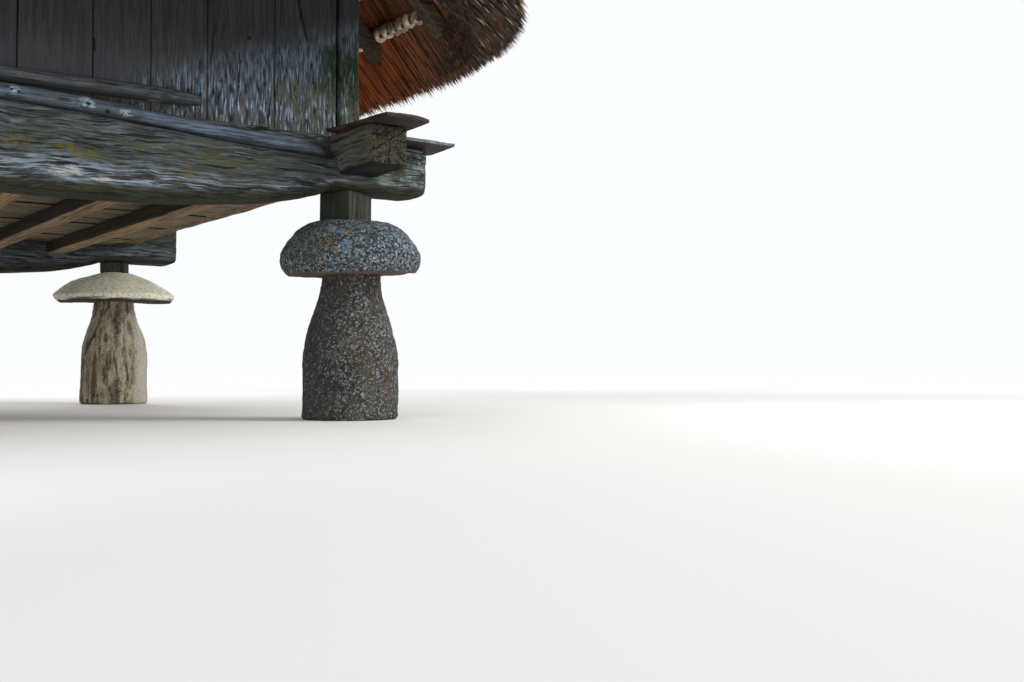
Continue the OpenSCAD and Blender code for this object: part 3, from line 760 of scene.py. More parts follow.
def log_section(half, bottom, top, wane, ledge=None):
    """Points round a log, anticlockwise seen from its right end: (across, up)."""
    round_off, shelf_wide, arc_parts = 0.015, 0.11, 5
    arc = [(half - wane + wane * sin(pi / 2 * i / arc_parts),
            bottom + wane - wane * cos(pi / 2 * i / arc_parts)) for i in range(arc_parts + 1)]
    under = [(a, bottom) for a in evenly(-half + wane, half - wane, 14)]
    inner = [(half, z) for z in evenly(bottom + wane, top - round_off, 12)][1:]
    crown = [(half, top - round_off), (half - round_off, top)]
    step, level = -half + shelf_wide, top if ledge is None else ledge
    crown += [(a, top) for a in evenly(half - round_off, step, 12)][1:]
    shelf = [(step, z) for z in evenly(top, level, 5)] + [(step, level)]
    shelf += [(a, level) for a in evenly(step, -half + round_off, 7)][1:]
    shelf += [(-half + round_off, level), (-half, level - round_off)]
    outer = [(-half, z) for z in evenly(level - round_off, bottom + wane, 22)][1:]
    left = [(-a, z) for a, z in reversed(arc)]
    return under + arc + inner + crown + shelf + outer + left[:-1]


def fissures(point, along):
    """Cracks and ridges a few millimetres deep that run along a log."""
    scale = Vector((2.6, 24, 24)) if along == "X" else Vector((24, 2.6, 24))
    ridge = noise.noise(point * scale) + 0.5 * noise.noise(point * scale * 2.1)
    return 0.0045 * ridge - 0.008 * max(0, noise.noise(point * scale * 0.7) - 0.35)


def join_rings(mesh, rings):
    """Faces between each ring of corners and the next."""
    return [mesh.faces.new((first[j], first[(j + 1) % len(first)],
                            second[(j + 1) % len(first)], second[j]))
            for first, second in zip(rings, rings[1:]) for j in range(len(first))]


def middle_of(ring):
    return sum((corner.co for corner in ring), Vector()) / len(ring)


def close_ring(mesh, ring, middle):
    """A fan of faces that closes a ring round a spot."""
    tip = mesh.verts.new(middle)
    return [mesh.faces.new((corner, ring[(j + 1) % len(ring)], tip))
            for j, corner in enumerate(ring)]


def closed_body(mesh, rings):
    """Faces between the rings of a body and over both of its ends."""
    join_rings(mesh, rings)
    for ring in (rings[0], rings[-1]):
        close_ring(mesh, ring, middle_of(ring))


def hewn_log(name, along, centre, sections, waves, coat, seed):
    """A log along X or Y, from sections by their place along it, its ends weathered back."""
    worn_up, worn_reach, inner_face = 0.064, 0.034, 0.1    # the worn stripe over the underside
    under_up, under_fade, pith_up = 0.058, 0.02, 0.03
    mesh = bmesh.new()
    worn = mesh.verts.layers.float.new("worn")
    under = mesh.verts.layers.float.new("under")
    flat = mesh.loops.layers.uv.new("end")
    turn = Matrix.Rotation(radians(90) if along == "Y" else 0, 3, "Z")
    rings = []
    for x, points in sections:
        low = min(z for across, z in points)
        ring = []
        for across, z in points:
            corner = mesh.verts.new(turn @ Vector((x, across, z)) + centre)
            corner[worn] = (max(0, 1 - abs(z - low - worn_up) / worn_reach)
                            * (abs(across) > inner_face))
            corner[under] = max(0, min(1, (under_up - (z - low)) / under_fade))
            ring.append(corner)
        rings.append(ring)
    join_rings(mesh, rings)
    for ring in (rings[0], rings[-1]):
        pith = middle_of(ring) + Vector((0, 0, pith_up))
        inner = [ring] + [[mesh.verts.new(pith + (v.co - pith) * share) for v in ring]
                          for share in (0.85, 0.7, 0.55, 0.4, 0.2)]
        for face in join_rings(mesh, inner) + close_ring(mesh, inner[-1], pith):
            face.material_index = 1
            for loop in face.loops:
                shift = turn.inverted() @ (loop.vert.co - pith)
                loop[flat].uv = (shift.y, shift.z)
    bmesh.ops.recalc_face_normals(mesh, faces=mesh.faces)
    mesh.normal_update()
    stretch = Vector((0.22, 1, 1)) if along == "X" else Vector((1, 0.22, 1))
    moves = [(v, v.normal * (lumps(v.co * stretch + Vector((seed, 0, 0)), waves)
                             + fissures(v.co, along))) for v in mesh.verts]
    for v, move in moves:
        v.co += move
    return new_piece(name, mesh, coat, log_end)


def places_along(end, laps, step, clear):
    """Places from one end of a log to the other, two close together at each edge of a lap."""
    edges = [side * lap for side in (-1, 1) for lap in laps]
    spread = [-end + step * i for i in range(round(2 * end / step) + 1)]
    kept = [x for x in spread if min(abs(x - edge) for edge in edges) > clear]
    return sorted(kept + [edge + shift for edge in edges for shift in (-0.0015, 0.0015)])


def weathering(x, end):
    """0 along a log and 1 at its end, rising over the last few centimetres."""
    rounded_part = 0.08
    return max(0, (abs(x) - (end - rounded_part)) / rounded_part) ** 2


laps = round(span - side_half, 3), round(span + side_half, 3)
worn_sides, worn_below, worn_top = 0.02, 0.025, 0.012    # how far the ends are weathered back
for node, side, extra, reach in (("front_beam", -1, 0, belly_half),
                                 ("back_beam", 1, back_extra, belly_half - back_shift)):
    sections = []
    for x in places_along(long_end, laps, step=0.018, clear=0.006):
        tip = weathering(x, long_end)
        half = long_half - worn_sides * tip
        bottom = -extra - belly * full_bow(x, reach) + worn_below * tip
        if abs(x) > laps[1]:
            points = log_section(half, bottom, tail_high - worn_top * tip, wane)
        elif abs(x) > laps[0]:
            points = log_section(half, bottom, lap_high, wane)
        else:
            points = log_section(half, bottom, log_high, wane, ledge_level(x))
        if side > 0:
            points = [(-a, z) for a, z in reversed(points)]
        sections.append((x, points))
    log = hewn_log(node + "_log", "X", Vector((0, side * span, beam_z)), sections,
                   [(0.010, 3), (0.005, 9)], long_log, 3 * side)
    stand_for(log, "log_chestnut", node)

laps = round(span - long_half, 3), round(span + long_half, 3)
worn_sides, worn_below, worn_top, side_wane_end = 0.016, 0.02, 0.01, 2.0
for node, side in (("right_beam", 1), ("left_beam", -1)):
    sections = []
    for y in places_along(side_end, laps, step=0.03, clear=0.01):
        tip = weathering(y, side_end)
        bottom = lap_high if laps[0] < abs(y) < laps[1] else side_rise + worn_below * tip
        sections.append((y, log_section(side_half - worn_sides * tip, bottom,
                                        log_high - worn_top * tip,
                                        side_wane if abs(y) < side_wane_end else lap_wane)))
    log = hewn_log(node + "_log", "Y", Vector((side * span, 0, beam_z)), sections,
                   [(0.008, 3), (0.005, 9)], side_log, 5 * side)
    stand_for(log, "log_chestnut", node)

# Slate caps
# Thin split slates laid over the projecting beam ends to shed rain off the end grain. Their
# edges are knapped, brown where they face the weather.
wall_z = beam_z + log_high


def slate_coat(place):
    layers = speckle(place, (5, 5, 160), 4)
    blot = speckle(place, 8, 5, 0.65)
    up = facing(place, (0, 0, 1))
    above = mix(band(speckle(place, 12, 5, 0.7), 0.42, 0.58), (78, 84, 90), (118, 126, 134))
    lower_edge = band(abs(up), 0.75, 0.55) * band(place.part("Z"), 1.7425, 1.7415)
    colour = paint(mix(band(blot, 0.40, 0.60), (32, 25, 21), (58, 46, 37)),
                   (strongest([band(up, 0.3, 0.7), lower_edge]), above),
                   (band(layers, 0.54, 0.62) * 0.6, (26, 22, 20)))
    return colour, 0.6 + blot * 0.3, layers * 0.5 + speckle(place, 45, 4) * 0.5


slate = finish("split_slate", slate_coat)
# heights and outlines of the two slates of a corner, from the crossing of its logs' axes
corner_slates = [
    (wall_z, [(-0.205, -0.135), (-0.135, -0.755), (0.04, -0.775), (0.175, -0.715),
              (0.19, -0.155)]),
    (beam_z + tail_high, [(0.148, -0.34), (0.608, -0.30), (0.648, 0.04), (0.558, 0.19),
                          (0.148, 0.20)])]
# share of the outline and height of each ring from the underside round the edge to the top
knapped = [(0.5, 0.0), (0.985, 0.0), (0.998, 0.005), (1.0, 0.014), (0.99, 0.020), (0.5, 0.020)]


def add_slate(mesh, outline, z, right, front):
    """One slate of a corner, for 1 or -1 to the right and to the front."""
    step = 0.03
    places = [Vector(spot) for spot in stepped(outline + outline[:1], step)]
    middle = sum(places, Vector((0, 0))) / len(places)
    rings = []
    for share, level in knapped:
        ring = []
        for place in places:
            spot = middle + (place - middle) * share
            spot = Vector((right * (span + spot.x), front * (spot.y - span), z + level))
            chip = noise.noise(spot * 14) * 0.009 + noise.noise(spot * 40) * 0.004
            out = (place - middle).normalized() * chip * (share > 0.9)
            sag = noise.noise(spot * 3) * 0.004
            ring.append(mesh.verts.new(spot + Vector((right * out.x, front * out.y, sag))))
        rings.append(ring)
    closed_body(mesh, rings)


plates = bmesh.new()
for right in (1, -1):
    for front in (1, -1):
        for z, outline in corner_slates:
            add_slate(plates, outline, z, right, front)
slates = new_piece("split_slates", plates, slate, smooth=False)
stand_for(slates, "slate", "slate_caps")

# Walls
# Wide upright chestnut boards of uneven width, close set between the posts. The door in the
# back wall is two of them, held by ledges on the inside.
wall_half, wall_face, board_thick, board_gap = 2.21, 2.345, 0.05, 0.007
board_shares = [36, 41, 33, 43, 38, 39, 34, 40, 33, 34, 43, 42]
door_high, door_gap, door_boards = 1.30, 0.004, (5, 6)
door_ledge_wide, door_ledge_thick, door_ledge_in, door_ledges = 0.09, 0.035, 0.04, (0.18, 0.78)

# splits and worn edges beside the near corner: X and Z of both ends, and half the width
split_lines = [(1.402, 2.06, 1.432, 2.32, 0.005), (1.564, 1.83, 1.580, 2.13, 0.004),
               (2.010, 2.30, 1.940, 2.60, 0.010), (0.745, 2.04, 0.740, 2.12, 0.008),
               (1.634, 2.255, 1.634, 2.275, 0.012)]


def torn(place, x, z):
    """1 along the split lines, a little ragged."""
    drift = (speckle(place, 9, 3) - 0.5) * 0.03
    found = []
    for x0, z0, x1, z1, wide in split_lines:
        middle, half = (z0 + z1) / 2, abs(z1 - z0) / 2
        off = abs(x - x0 - (z - z0) * ((x1 - x0) / (z1 - z0)) - drift)
        found.append(band(off, wide, wide * 0.4) * band(abs(z - middle), half, half * 0.85))
    return strongest(found)


def board_coat(place):
    """Smooth and brown-grey under the eave, washed blue-grey and furrowed near the beams."""
    grain, tone = grain_of(place)
    x, y, z = (place.part(axis) for axis in "XYZ")
    along = abs(x * y) * (1 / wall_face)    # distance from the middle of any of the four walls
    cloud = speckle(place, 2.4, 4) - 0.5
    fibre = speckle(grain, (190, 190, 8), 3, 0.65)
    furrow = speckle(grain, (95, 95, 11), 4, 0.64, 0.15)
    streak = speckle(grain, (34, 34, 2.2), 3)
    rings = (speckle(grain, (7, 7, 0.8), 2) * 130).sine()
    dry = paint(mix(band(fibre * 0.5 + streak * 0.5, 0.38, 0.62), (36, 34, 33), (62, 60, 58)),
                (band(rings, -0.4, 0.8) * 0.22, (30, 28, 26)),
                (band(tone, 0.2, 0.9) * 0.3, (46, 50, 58)),
                (band(z + cloud * 0.5, 2.3, 1.8) * 0.3, (76, 80, 86)))
    low = band(z - along * 0.1 + cloud * 0.3, 1.92, 1.68)
    ridge = band(furrow, 0.55, 0.64) * (0.2 + low * 0.65 + cloud * 0.8)
    wet = paint(mix(band(furrow, 0.38, 0.58), (46, 52, 58), (88, 99, 112)),
                (ridge, (156, 172, 190)),
                (band(cloud + streak - 0.5, 0.04, 0.16) * 0.55, (84, 80, 62)))
    start = z - along * 0.35 + (streak - 0.5) * 0.35 + cloud * 0.12
    washed = band(start, 1.72, 1.48) * band(along + cloud, 0.45, 1.25)
    light = band(furrow, 0.54, 0.60)
    mould = band(along + cloud * 0.3, 2.00, 2.12) * band(abs(z + cloud * 0.3 - 2.13), 0.19, 0.08)
    moss = band(along + cloud * 0.8, 1.80, 2.10) * band(z + cloud * 0.4, 2.10, 1.98)
    foot = band(z + cloud * 0.15, 1.82, 1.77)
    gash = band(speckle(grain, (70, 70, 12), 3, 0.6, 0.3), 0.42, 0.36)
    gash_share = washed * 0.85 + 0.05
    # only in the front of the front wall
    splits = band(abs(y + wall_face), 0.06, 0.05) * torn(place, x, z) * band(y, -2.2, -2.3)
    colour = paint(mix(washed, dry, wet),
                   (mould * (0.9 - light * 0.5), (30, 44, 17)),
                   (moss * (0.4 - light * 0.3), (72, 76, 46)),
                   (foot * (0.45 - light * 0.25), (70, 64, 46)),
                   (gash * gash_share, (22, 23, 24)),
                   (splits * 0.92, (14, 13, 12)))
    return (colour, 0.82 + fibre * 0.14,
            fibre * 0.2 + furrow * washed * 0.7 - gash * (washed * 0.8 + 0.05) - splits)


board_wood = finish("wall_board", board_coat, 0.008)
wall_low, wall_high = (corner.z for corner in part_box("front_wall"))
door_top = wall_low + door_high
for side, node in enumerate(("front_wall", "right_wall", "back_wall", "left_wall")):
    turn = radians(90) * side
    spin = Matrix.Rotation(turn, 3, "Z")
    dice = random.Random(side)
    boards, leaf, x = [], [], -wall_half
    for i, share in enumerate(board_shares):
        wide = 2 * wall_half * share / sum(board_shares)
        y = board_thick / 2 - wall_face + dice.uniform(-0.004, 0.006)
        low = door_top if node == "back_wall" and i in door_boards else wall_low
        boards.append((spin @ Vector((x + wide / 2, y, (low + wall_high) / 2)),
                       (wide - board_gap, board_thick, wall_high - low), (0, 0, turn)))
        if low == door_top:
            leaf.append((spin @ Vector((x + wide / 2, y, (wall_low + door_top) / 2)),
                         (wide - board_gap, board_thick, door_high - door_gap), (0, 0, turn)))
        x += wide
    wall = timbers(node + "_boards", boards, board_wood, along=44, across=8, wave=0.012,
                   round_edge=0.004)
    stand_for(wall, "board_chestnut", node)
    if leaf:
        low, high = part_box("door_leaf")
        for share in door_ledges:
            middle = Vector(((low.x + high.x) / 2,
                             wall_face - board_thick - door_ledge_thick / 2,
                             wall_low + share * door_high + door_ledge_wide / 2))
            leaf.append((middle, (door_ledge_wide, door_ledge_thick,
                                  high.x - low.x - 2 * door_ledge_in), (0, radians(90), 0)))
        door = timbers("door_boards", leaf, board_wood, along=40, across=8, wave=0.010,
                       round_edge=0.004)
        stand_for(door, "board_chestnut", "door_leaf")

# Corner posts
# Squared chestnut posts that stand on the crossings of the beams and stop the wall boards.
# They weather as the boards do, washed and green at the corner.
post_wood = finish("post_wood", board_coat, 0.010)
for corner in corners:
    low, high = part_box("corner_post_" + corner)
    post = timbers("post_timber_" + corner, [((low + high) / 2, high - low, (0, 0, 0))],
                   post_wood, along=40, across=5, wave=0.014, round_edge=0.008)
    stand_for(post, "post_chestnut", "corner_post_" + corner)

# Floor
# Seven joists with stub tenons in the front and back beams, and boards laid across them.
# They are dark on their sides, partly with dust and partly as painted shade, and light brown
# where they look down, as painted light from below.
joist_step, joist_wide, joist_long = 0.56, 0.15, 4.298
deck_rows, deck_gap, deck_seam, deck_thick = 14, 0.009, 0.014, 0.04
deck_long, deck_drop = 4.33, 0.008
# dark sides, partly dust and partly painted shade, and light brown undersides as painted light
# from below
joist_wood = finish("joist_wood", old_wood((30, 26, 20), (70, 60, 46), (48, 42, 32),
                                           ((96, 76, 52), (186, 154, 112))))


def deck_coat(place):
    """Boards with near-black edges, painted shade in the gaps between them seen from below, and
    paler undersides as painted light.
    """
    colour, rough, height = old_wood((66, 58, 44), (110, 96, 74), (66, 60, 46),
                                     ((66, 59, 45), (144, 128, 98)))(place)
    # painted shade: the boards' side faces are near-black, as in the gaps
    edge = band(abs(facing(place, (0, 0, 1))), 0.8, 0.5)
    return mix(edge, colour, (14, 12, 10)), rough, height


deck_wood = finish("deck_wood", deck_coat)
low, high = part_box("floor_joists")
joists = [(Vector((joist_step * i, 0, (low.z + high.z) / 2)),
           (joist_wide, high.z - low.z - 0.002, joist_long), (radians(90), 0, 0))
          for i in range(-3, 4)]
joist_row = timbers("joist_timbers", joists, joist_wood, along=60, across=4, wave=0.014,
                    round_edge=0.010)
stand_for(joist_row, "joist_chestnut", "floor_joists")
low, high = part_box("floor_boards")
row = (high.y - low.y + deck_gap) / deck_rows
# every third board lies a little lower
deck = [(Vector((0, low.y + row * (i + 0.5) - deck_gap / 2,
                 (low.z + high.z) / 2 - deck_drop * (i % 3 == 0))),
         (deck_thick, row - deck_seam, deck_long), (0, radians(90), 0))
        for i in range(deck_rows)]
floor_deck = timbers("floor_deck", deck, deck_wood, along=60, across=3, wave=0.012,
                     round_edge=0.004)
stand_for(floor_deck, "floor_chestnut", "floor_boards")

# Wall plates and rafters
# Plates half-lapped at the corners, common rafters on them and hip rafters up to the top.
# They stay as they were built, grey-brown with dust and weather.
grain_along = {"X": ("front_plate", "back_plate", "rafters_left", "rafters_right", "battens"),
               "Y": ("left_plate", "right_plate", "rafters_front", "rafters_back"),
               "Z": ("hip_rafters",)}
for axis, nodes in grain_along.items():
    wood = finish("roof_wood_" + axis.lower(),
                  old_wood((50, 43, 34), (104, 90, 70), (66, 60, 48), axis=axis))
    for node in nodes:
        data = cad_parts[node].data
        data.materials.clear()
        data.materials.append(wood)

# Loose poles
# Two long peeled poles lying on the ledge of the front beam, the upper one against the boards.
# They are grey, with knots and crusts of pale lichen.


def pole_coat(dark, light, pale, holes, worn):
    """Peeled wood with pale crusts, dark holes and worn spots, each as patches() takes them, and
    painted shade on the faces that look down.
    """
    def coat(place):
        fibre = speckle(place, (6, 130, 130), 4, 0.68)
        streak = speckle(place, (2.2, 34, 34), 3)
        crust = speckle(place, 46, 4, 0.7)
        crack = band(speckle(place, (3, 40, 40), 2, 0.5, 0.3), 0.63, 0.68)
        # painted shade on the faces that look down
        down = band(facing(place, (0, 0, 1)), -0.2, -0.8)
        colour = paint(mix(band(fibre * 0.55 + streak * 0.5, 0.42, 0.62), dark, light),
                       (band(speckle(place, 3.5, 4), 0.48, 0.60) * 0.5, (60, 62, 60)),
                       (down * 0.8, (26, 27, 27)),
                       (patches(place, worn, 18) * 0.6, (88, 80, 68)),
                       (patches(place, pale, 20) * band(crust, 0.42, 0.54) * 0.85,
                        (142, 158, 166)),
                       (patches(place, holes, 24) * 0.92, (20, 18, 17)),
                       (crack * 0.8, (24, 24, 24)))
        return colour, 0.8 + fibre * 0.15, fibre * 0.5 + streak * 0.6 + crust * 0.2 - crack * 0.8
    return coat


def peeled_pole(node, path, thick, thin_end, rounding, knots, wood):
    """A crooked pole along a path, thicker to the right and at each knot.
    A knot is given by its X, the turn it points to and its height."""
    sides, rounded_steps, knot_reach = 20, 6, 0.09
    mesh = bmesh.new()
    rings = []
    steps = len(path) - 1
    for i, (x, y, z, on_top) in enumerate(path):
        radius = (thick * (thin_end + (1 - thin_end) * i / steps)
                  * (1 - rounding * max(0, 1 - (steps - i) / rounded_steps) ** 2))
        centre = Vector((x, y, z + radius * on_top))
        ring = []
        for k in range(sides):
            turn = 2 * pi * k / sides
            out = Vector((0, cos(turn), sin(turn)))
            bulge = sum(size * max(0, 1 - abs(centre.x - at) / knot_reach) ** 2
                        * max(0, cos(turn - way)) for at, way, size in knots)
            spot = centre + out * (radius + bulge)
            spot += out * lumps(spot * Vector((0.4, 1, 1)), [(0.006, 5), (0.003, 22)])
            ring.append(mesh.verts.new(spot))
        rings.append(ring)
    closed_body(mesh, rings)
    stand_for(new_piece(node.replace("front", "peeled"), mesh, wood), "pole_wood", node)


# spots on the poles: X, Z and the reach along both
lower_wood = finish("peeled_pole_blue", pole_coat(
    (44, 50, 57), (96, 110, 128),
    [(0.31, 1.755, 0.035, 0.022), (0.68, 1.73, 0.055, 0.03), (0.89, 1.705, 0.035, 0.02)],
    [(0.30, 1.75, 0.010, 0.008), (0.335, 1.745, 0.010, 0.007), (0.685, 1.73, 0.016, 0.012),
     (0.79, 1.70, 0.014, 0.010), (0.905, 1.70, 0.008, 0.006)],
    [(0.50, 1.745, 0.035, 0.010)]))
upper_wood = finish("peeled_pole_brown", pole_coat(
    (42, 44, 46), (80, 86, 92), [(-0.9, 1.9, 0.03, 0.02)], [(1.095, 1.79, 0.012, 0.008)],
    [(0.34, 1.875, 0.035, 0.012), (1.06, 1.79, 0.045, 0.012)]))
lower_half, lower_steps, lower_y = 2.11, 120, -2.3923
lower_xs = evenly(-lower_half, lower_half, lower_steps) + [lower_half]
peeled_pole("front_pole_lower", [(x, lower_y, beam_z + ledge_level(x), 1) for x in lower_xs],
            thick=0.052, thin_end=0.82, rounding=0.5, wood=lower_wood, knots=[
                (-1.42, 3.6, 0.010), (0.31, 3.1, 0.010), (0.68, 3.1, 0.014), (0.89, 3.0, 0.008)])
upper_steps, upper_y = 90, -2.3893
low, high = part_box("front_pole_upper")
upper_xs = evenly(low.x, high.x, upper_steps) + [high.x]
peeled_pole("front_pole_upper", [(x, upper_y, (low.z + high.z) / 2, 0) for x in upper_xs],
            thick=0.044, thin_end=0.86, rounding=0.35, wood=upper_wood, knots=[
                (-1.2, 3.4, 0.006), (0.34, 3.5, 0.006), (1.06, 3.5, 0.012)])

# Thatch
# Rye straw in thick courses over the battens, its butts cut ragged at the eave. It is red
# brown and dry underneath, and grey with gold where the sun and the rain reach it.
slope = radians(48)
under_z, thickness = 3.6125, 0.4782    # the underside over the logs' axes, and the plumb size
eave_u, eave_r, tip_u, rim_u, rim_r = 3.39, 1.85, 3.42, 3.6578, 1.97
crest_u, crest_r = 0.24, 0.23
under_rows, rim_rows, over_rows = 40, 7, 60
course_high, course_step, course_from, skin_drop = 0.29, 0.016, 2.5, 0.012


def thatch_under(u):
    """Height of the underside at a distance from the centre."""
    return under_z - (u - span) * tan(slope)


def thatch_over(u):
    return thatch_under(u) + thickness


def inner_r(u):
    """Plan radius of the hips on the underside, sharper towards the top."""
    if u < 2.6:
        return 0.25 * u / 2.6
    return 0.25 + 0.75 * (u - 2.6) / 0.49 if u < 3.09 else 1.0 + 0.85 * (u - 3.09) / 0.30


def outer_r(u):
    return crest_r + (rim_r - crest_r) * (u / rim_u) ** 3


def quarter_point(u, r, t):
    """A point of a rounded square and the way out from it, for t from -1 to 1 along one side."""
    straight, arc = u - r, r * pi / 4
    reach = t * (straight + arc)
    turn = max(0, abs(reach) - straight) / r
    out = Vector((sin(turn) if t > 0 else -sin(turn), -cos(turn)))
    middle = max(-straight, min(straight, reach))
    return Vector((middle, r - u)) + out * r, out


def straw_coat(place):
    """Red brown inside, dark at the cut edge, and gold and grey outside, by the straw's age."""
    age, tone = stored(place, "age"), stored(place, "straw_tone")
    lay = stored(place, "lay", "Vector")
    strand = speckle(lay, (120, 1.6, 1), 5, 0.75)
    clump = speckle(lay, (20, 0.7, 1))
    patch = speckle(place, 1.3, 4)
    fine = speckle(place, 70, 3, 0.7)
    shine = band(tone * 0.6 + strand * 0.6 + clump * 0.3 - 0.18, 0.30, 0.72)
    cool = mix(shine, (15, 12, 10), (90, 72, 58))
    corner = abs(place.part("X") * place.part("Y"))
    inside = paint(mix(shine, (40, 22, 13), (222, 124, 66)),
                   (band(corner + patch * 6, 4.5, 9.5) * 0.85, cool),
                   (band(age, 0.25, 0.4) * 0.5, cool))
    edge = mix(band(tone, 0.93, 0.97), mix(shine, (17, 14, 12), (84, 72, 60)), (206, 196, 176))
    outside = paint(mix(shine, (66, 44, 26), (204, 160, 100)),
                    (band(patch, 0.44, 0.66) * 0.55, mix(shine, (60, 52, 42), (164, 148, 120))),
                    (band(speckle(place, 4, 5), 0.52, 0.70) * shine * 0.6, (160, 84, 40)))
    colour = mix(band(age, 0.42, 0.48), inside, mix(band(age, 0.6, 0.95), edge, outside))
    return colour, 0.85 + fine * 0.1, strand * 0.7 + fine * 0.3


straw = finish("rye_straw", straw_coat)


def chance(seed, low, high, offset):
    """A random number or vector between two others, drawn anew for each offset."""
    kind, ends, out = "FLOAT", (2, 3), 1
    if isinstance(low, tuple):
        kind, ends, out = "FLOAT_VECTOR", ("Min", "Max"), 0
    return seed.node("FunctionNodeRandomValue", {"data_type": kind}, {
        ends[0]: low, ends[1]: high, "Seed": seed + offset}, out)


def stick(shell, density, length, width, lift, seed):
    """Tapered straws that lie down the slope of a shell, more or less as its marks say."""
    points, outward = shell.node("GeometryNodeDistributePointsOnFaces", {}, {
        "Mesh": shell, "Seed": seed,
        "Density": density * named(shell, "thick", "FLOAT") * named(shell, "skin", "FLOAT")},
        ("Points", "Normal"))
    wild = named(points, "wild", "FLOAT")
    lie = points.vector("ADD", named(points, "fall"),
                        points.vector("MULTIPLY", outward, same(lift * wild)))
    lie = points.vector("ADD", lie, points.vector(
        "MULTIPLY", chance(seed, (-0.16, -0.16, -0.1), (0.16, 0.16, 0.1), 1), same(wild)))
    turn = points.node("FunctionNodeAlignRotationToVector", {"axis": "Z"}, {"Vector": lie})
    blade = points.node("GeometryNodeMeshCone", {"fill_type": "NGON"}, {
        "Vertices": 3, "Side Segments": 1, "Fill Segments": 1, "Radius Top": 0.0,
        "Radius Bottom": 1.0, "Depth": 1.0})
    long = length * named(points, "long", "FLOAT") * chance(seed, 0.6, 1.3, 2)
    wide = width * chance(seed, 0.6, 1.4, 3)
    size = points.node("ShaderNodeCombineXYZ", {}, {0: wide, 1: wide, 2: long})
    blades = store(placed(points, blade, turn, size), "straw_tone", chance(seed, 0.0, 1.0, 4),
                   "FLOAT", "INSTANCE")
    joined = shell.tree.nodes.new("GeometryNodeJoinGeometry")
    for part in (shell, realized(blades)):
        shell.tree.links.new(part.socket, joined.inputs[0])
    return Wire(shell.tree, joined.outputs[0])


laid_straw = grown_tree("laid_straw", {
    "Shell": "Geometry", "Density": "Float", "Length": "Float", "Width": "Float",
    "Lift": "Float", "Seed": "Int", "Finish": "Material"}, stick)


def thatch_rows():
    """Rows of a slope from its inner apex round the eave to the top: the distance from the
    centre, the hips' radius, the height, the way out of the surface along and up, and its
    age, straws, their length and how far they stray."""
    rows = []
    for i in range(under_rows + 1):
        share = i / under_rows
        u = 0.05 + (eave_u - 0.05) * (1 - (1 - share) ** 1.4)
        open_air = max(0, min(1, (u - 2.25) / 0.15))
        rows.append((u, inner_r(u), thatch_under(u), (-sin(slope), -cos(slope)),
                     0.4 * max(0, (u - span) / 1.1), 0.03 + 1.35 * open_air,
                     max(0.24, min(2.1, (3.48 - u) / 0.27)), 0.15))
    rim = Vector((rim_u - tip_u, thatch_over(rim_u) - thatch_under(eave_u)))
    out = Vector((rim.y, -rim.x)).normalized()
    for i in range(rim_rows + 1):
        share = i / rim_rows
        rows.append((tip_u + rim.x * share, eave_r + (rim_r - eave_r) * share,
                     thatch_under(eave_u) + rim.y * share, (out.x, out.y), 0.55, 2.6, 0.24, 0.4))
    for i in range(1, over_rows + 1):
        u = rim_u + (crest_u - rim_u) * i / over_rows
        rows.append((u, outer_r(u), thatch_over(u), (sin(slope), cos(slope)), 1,
                     0.85, max(0.35, min(1, (3.70 - u) / 0.35)), 1.0))
    return rows


def straw_shell():
    """An empty shell, the layers of its corners by name, and that of its faces."""
    shell = bmesh.new()
    layers = {key: shell.verts.layers.float.new(key)
              for key in ("age", "straw_tone", "thick", "long", "wild")}
    for key in ("fall", "lay"):
        layers[key] = shell.verts.layers.float_vector.new(key)
    return shell, layers, shell.faces.layers.float.new("skin")


def mark(corner, layers, **marks):
    for key, value in marks.items():
        corner[layers[key]] = value


def lay_straw(name, shell, seed, node):
    """Turns a shell into thatch, with straws all over it."""
    bmesh.ops.recalc_face_normals(shell, faces=shell.faces)
    thatch = grow(name, plain_mesh(name + "_shell", shell), laid_straw, {
        "Density": 680.0, "Length": 0.26, "Width": 0.0055, "Lift": 0.10, "Seed": seed,
        "Finish": straw})
    stand_for(thatch, "rye_thatch", node)


rows, columns = thatch_rows(), 96
for side, node in enumerate(("thatch_front", "thatch_right", "thatch_back", "thatch_left")):
    spin = Matrix.Rotation(radians(90) * side, 3, "Z")
    shell, layers, skin = straw_shell()
    grid = []
    for u, r, z, (out_flat, out_up), age, thick, long, wild in rows:
        line = []
        for j in range(columns + 1):
            t = -1 + 2 * j / columns
            flat, out = quarter_point(u, r, t)
            spot = spin @ Vector((flat.x, flat.y, z))
            away = spin @ Vector((out.x, out.y, 0))
            normal = away * out_flat + Vector((0, 0, out_up))
            drop = (spot.z - course_from) / course_high
            course = course_step * (1 - (drop - int(drop))) if age == 1 else 0
            swell = lumps(spot, [(0.022, 1.3), (0.012, 5), (0.006, 16)])
            swell *= 0.3 if age < 0.5 else 1
            corner = shell.verts.new(spot + normal * (swell + course - skin_drop))
            mark(corner, layers, age=age, straw_tone=0.25 + 0.2 * noise.noise(spot * 9),
                 thick=thick, long=long, wild=wild,
                 fall=away * cos(slope) - Vector((0, 0, sin(slope))),
                 lay=(t * 3.0 + 7 * side, u / cos(slope), age))
            line.append(corner)
        grid.append(line)
    for first, second in zip(grid, grid[1:] + grid[:1]):
        for j in range(columns):
            shell.faces.new((first[j], first[j + 1], second[j + 1], second[j]))[skin] = 1
    for j in (0, columns):    # the side walls, where a slope meets its neighbours at the hips
        wall = shell.faces.new([line[j] for line in grid])
        bmesh.ops.triangulate(shell, faces=[wall])
    lay_straw(node + "_straw", shell, side, node)

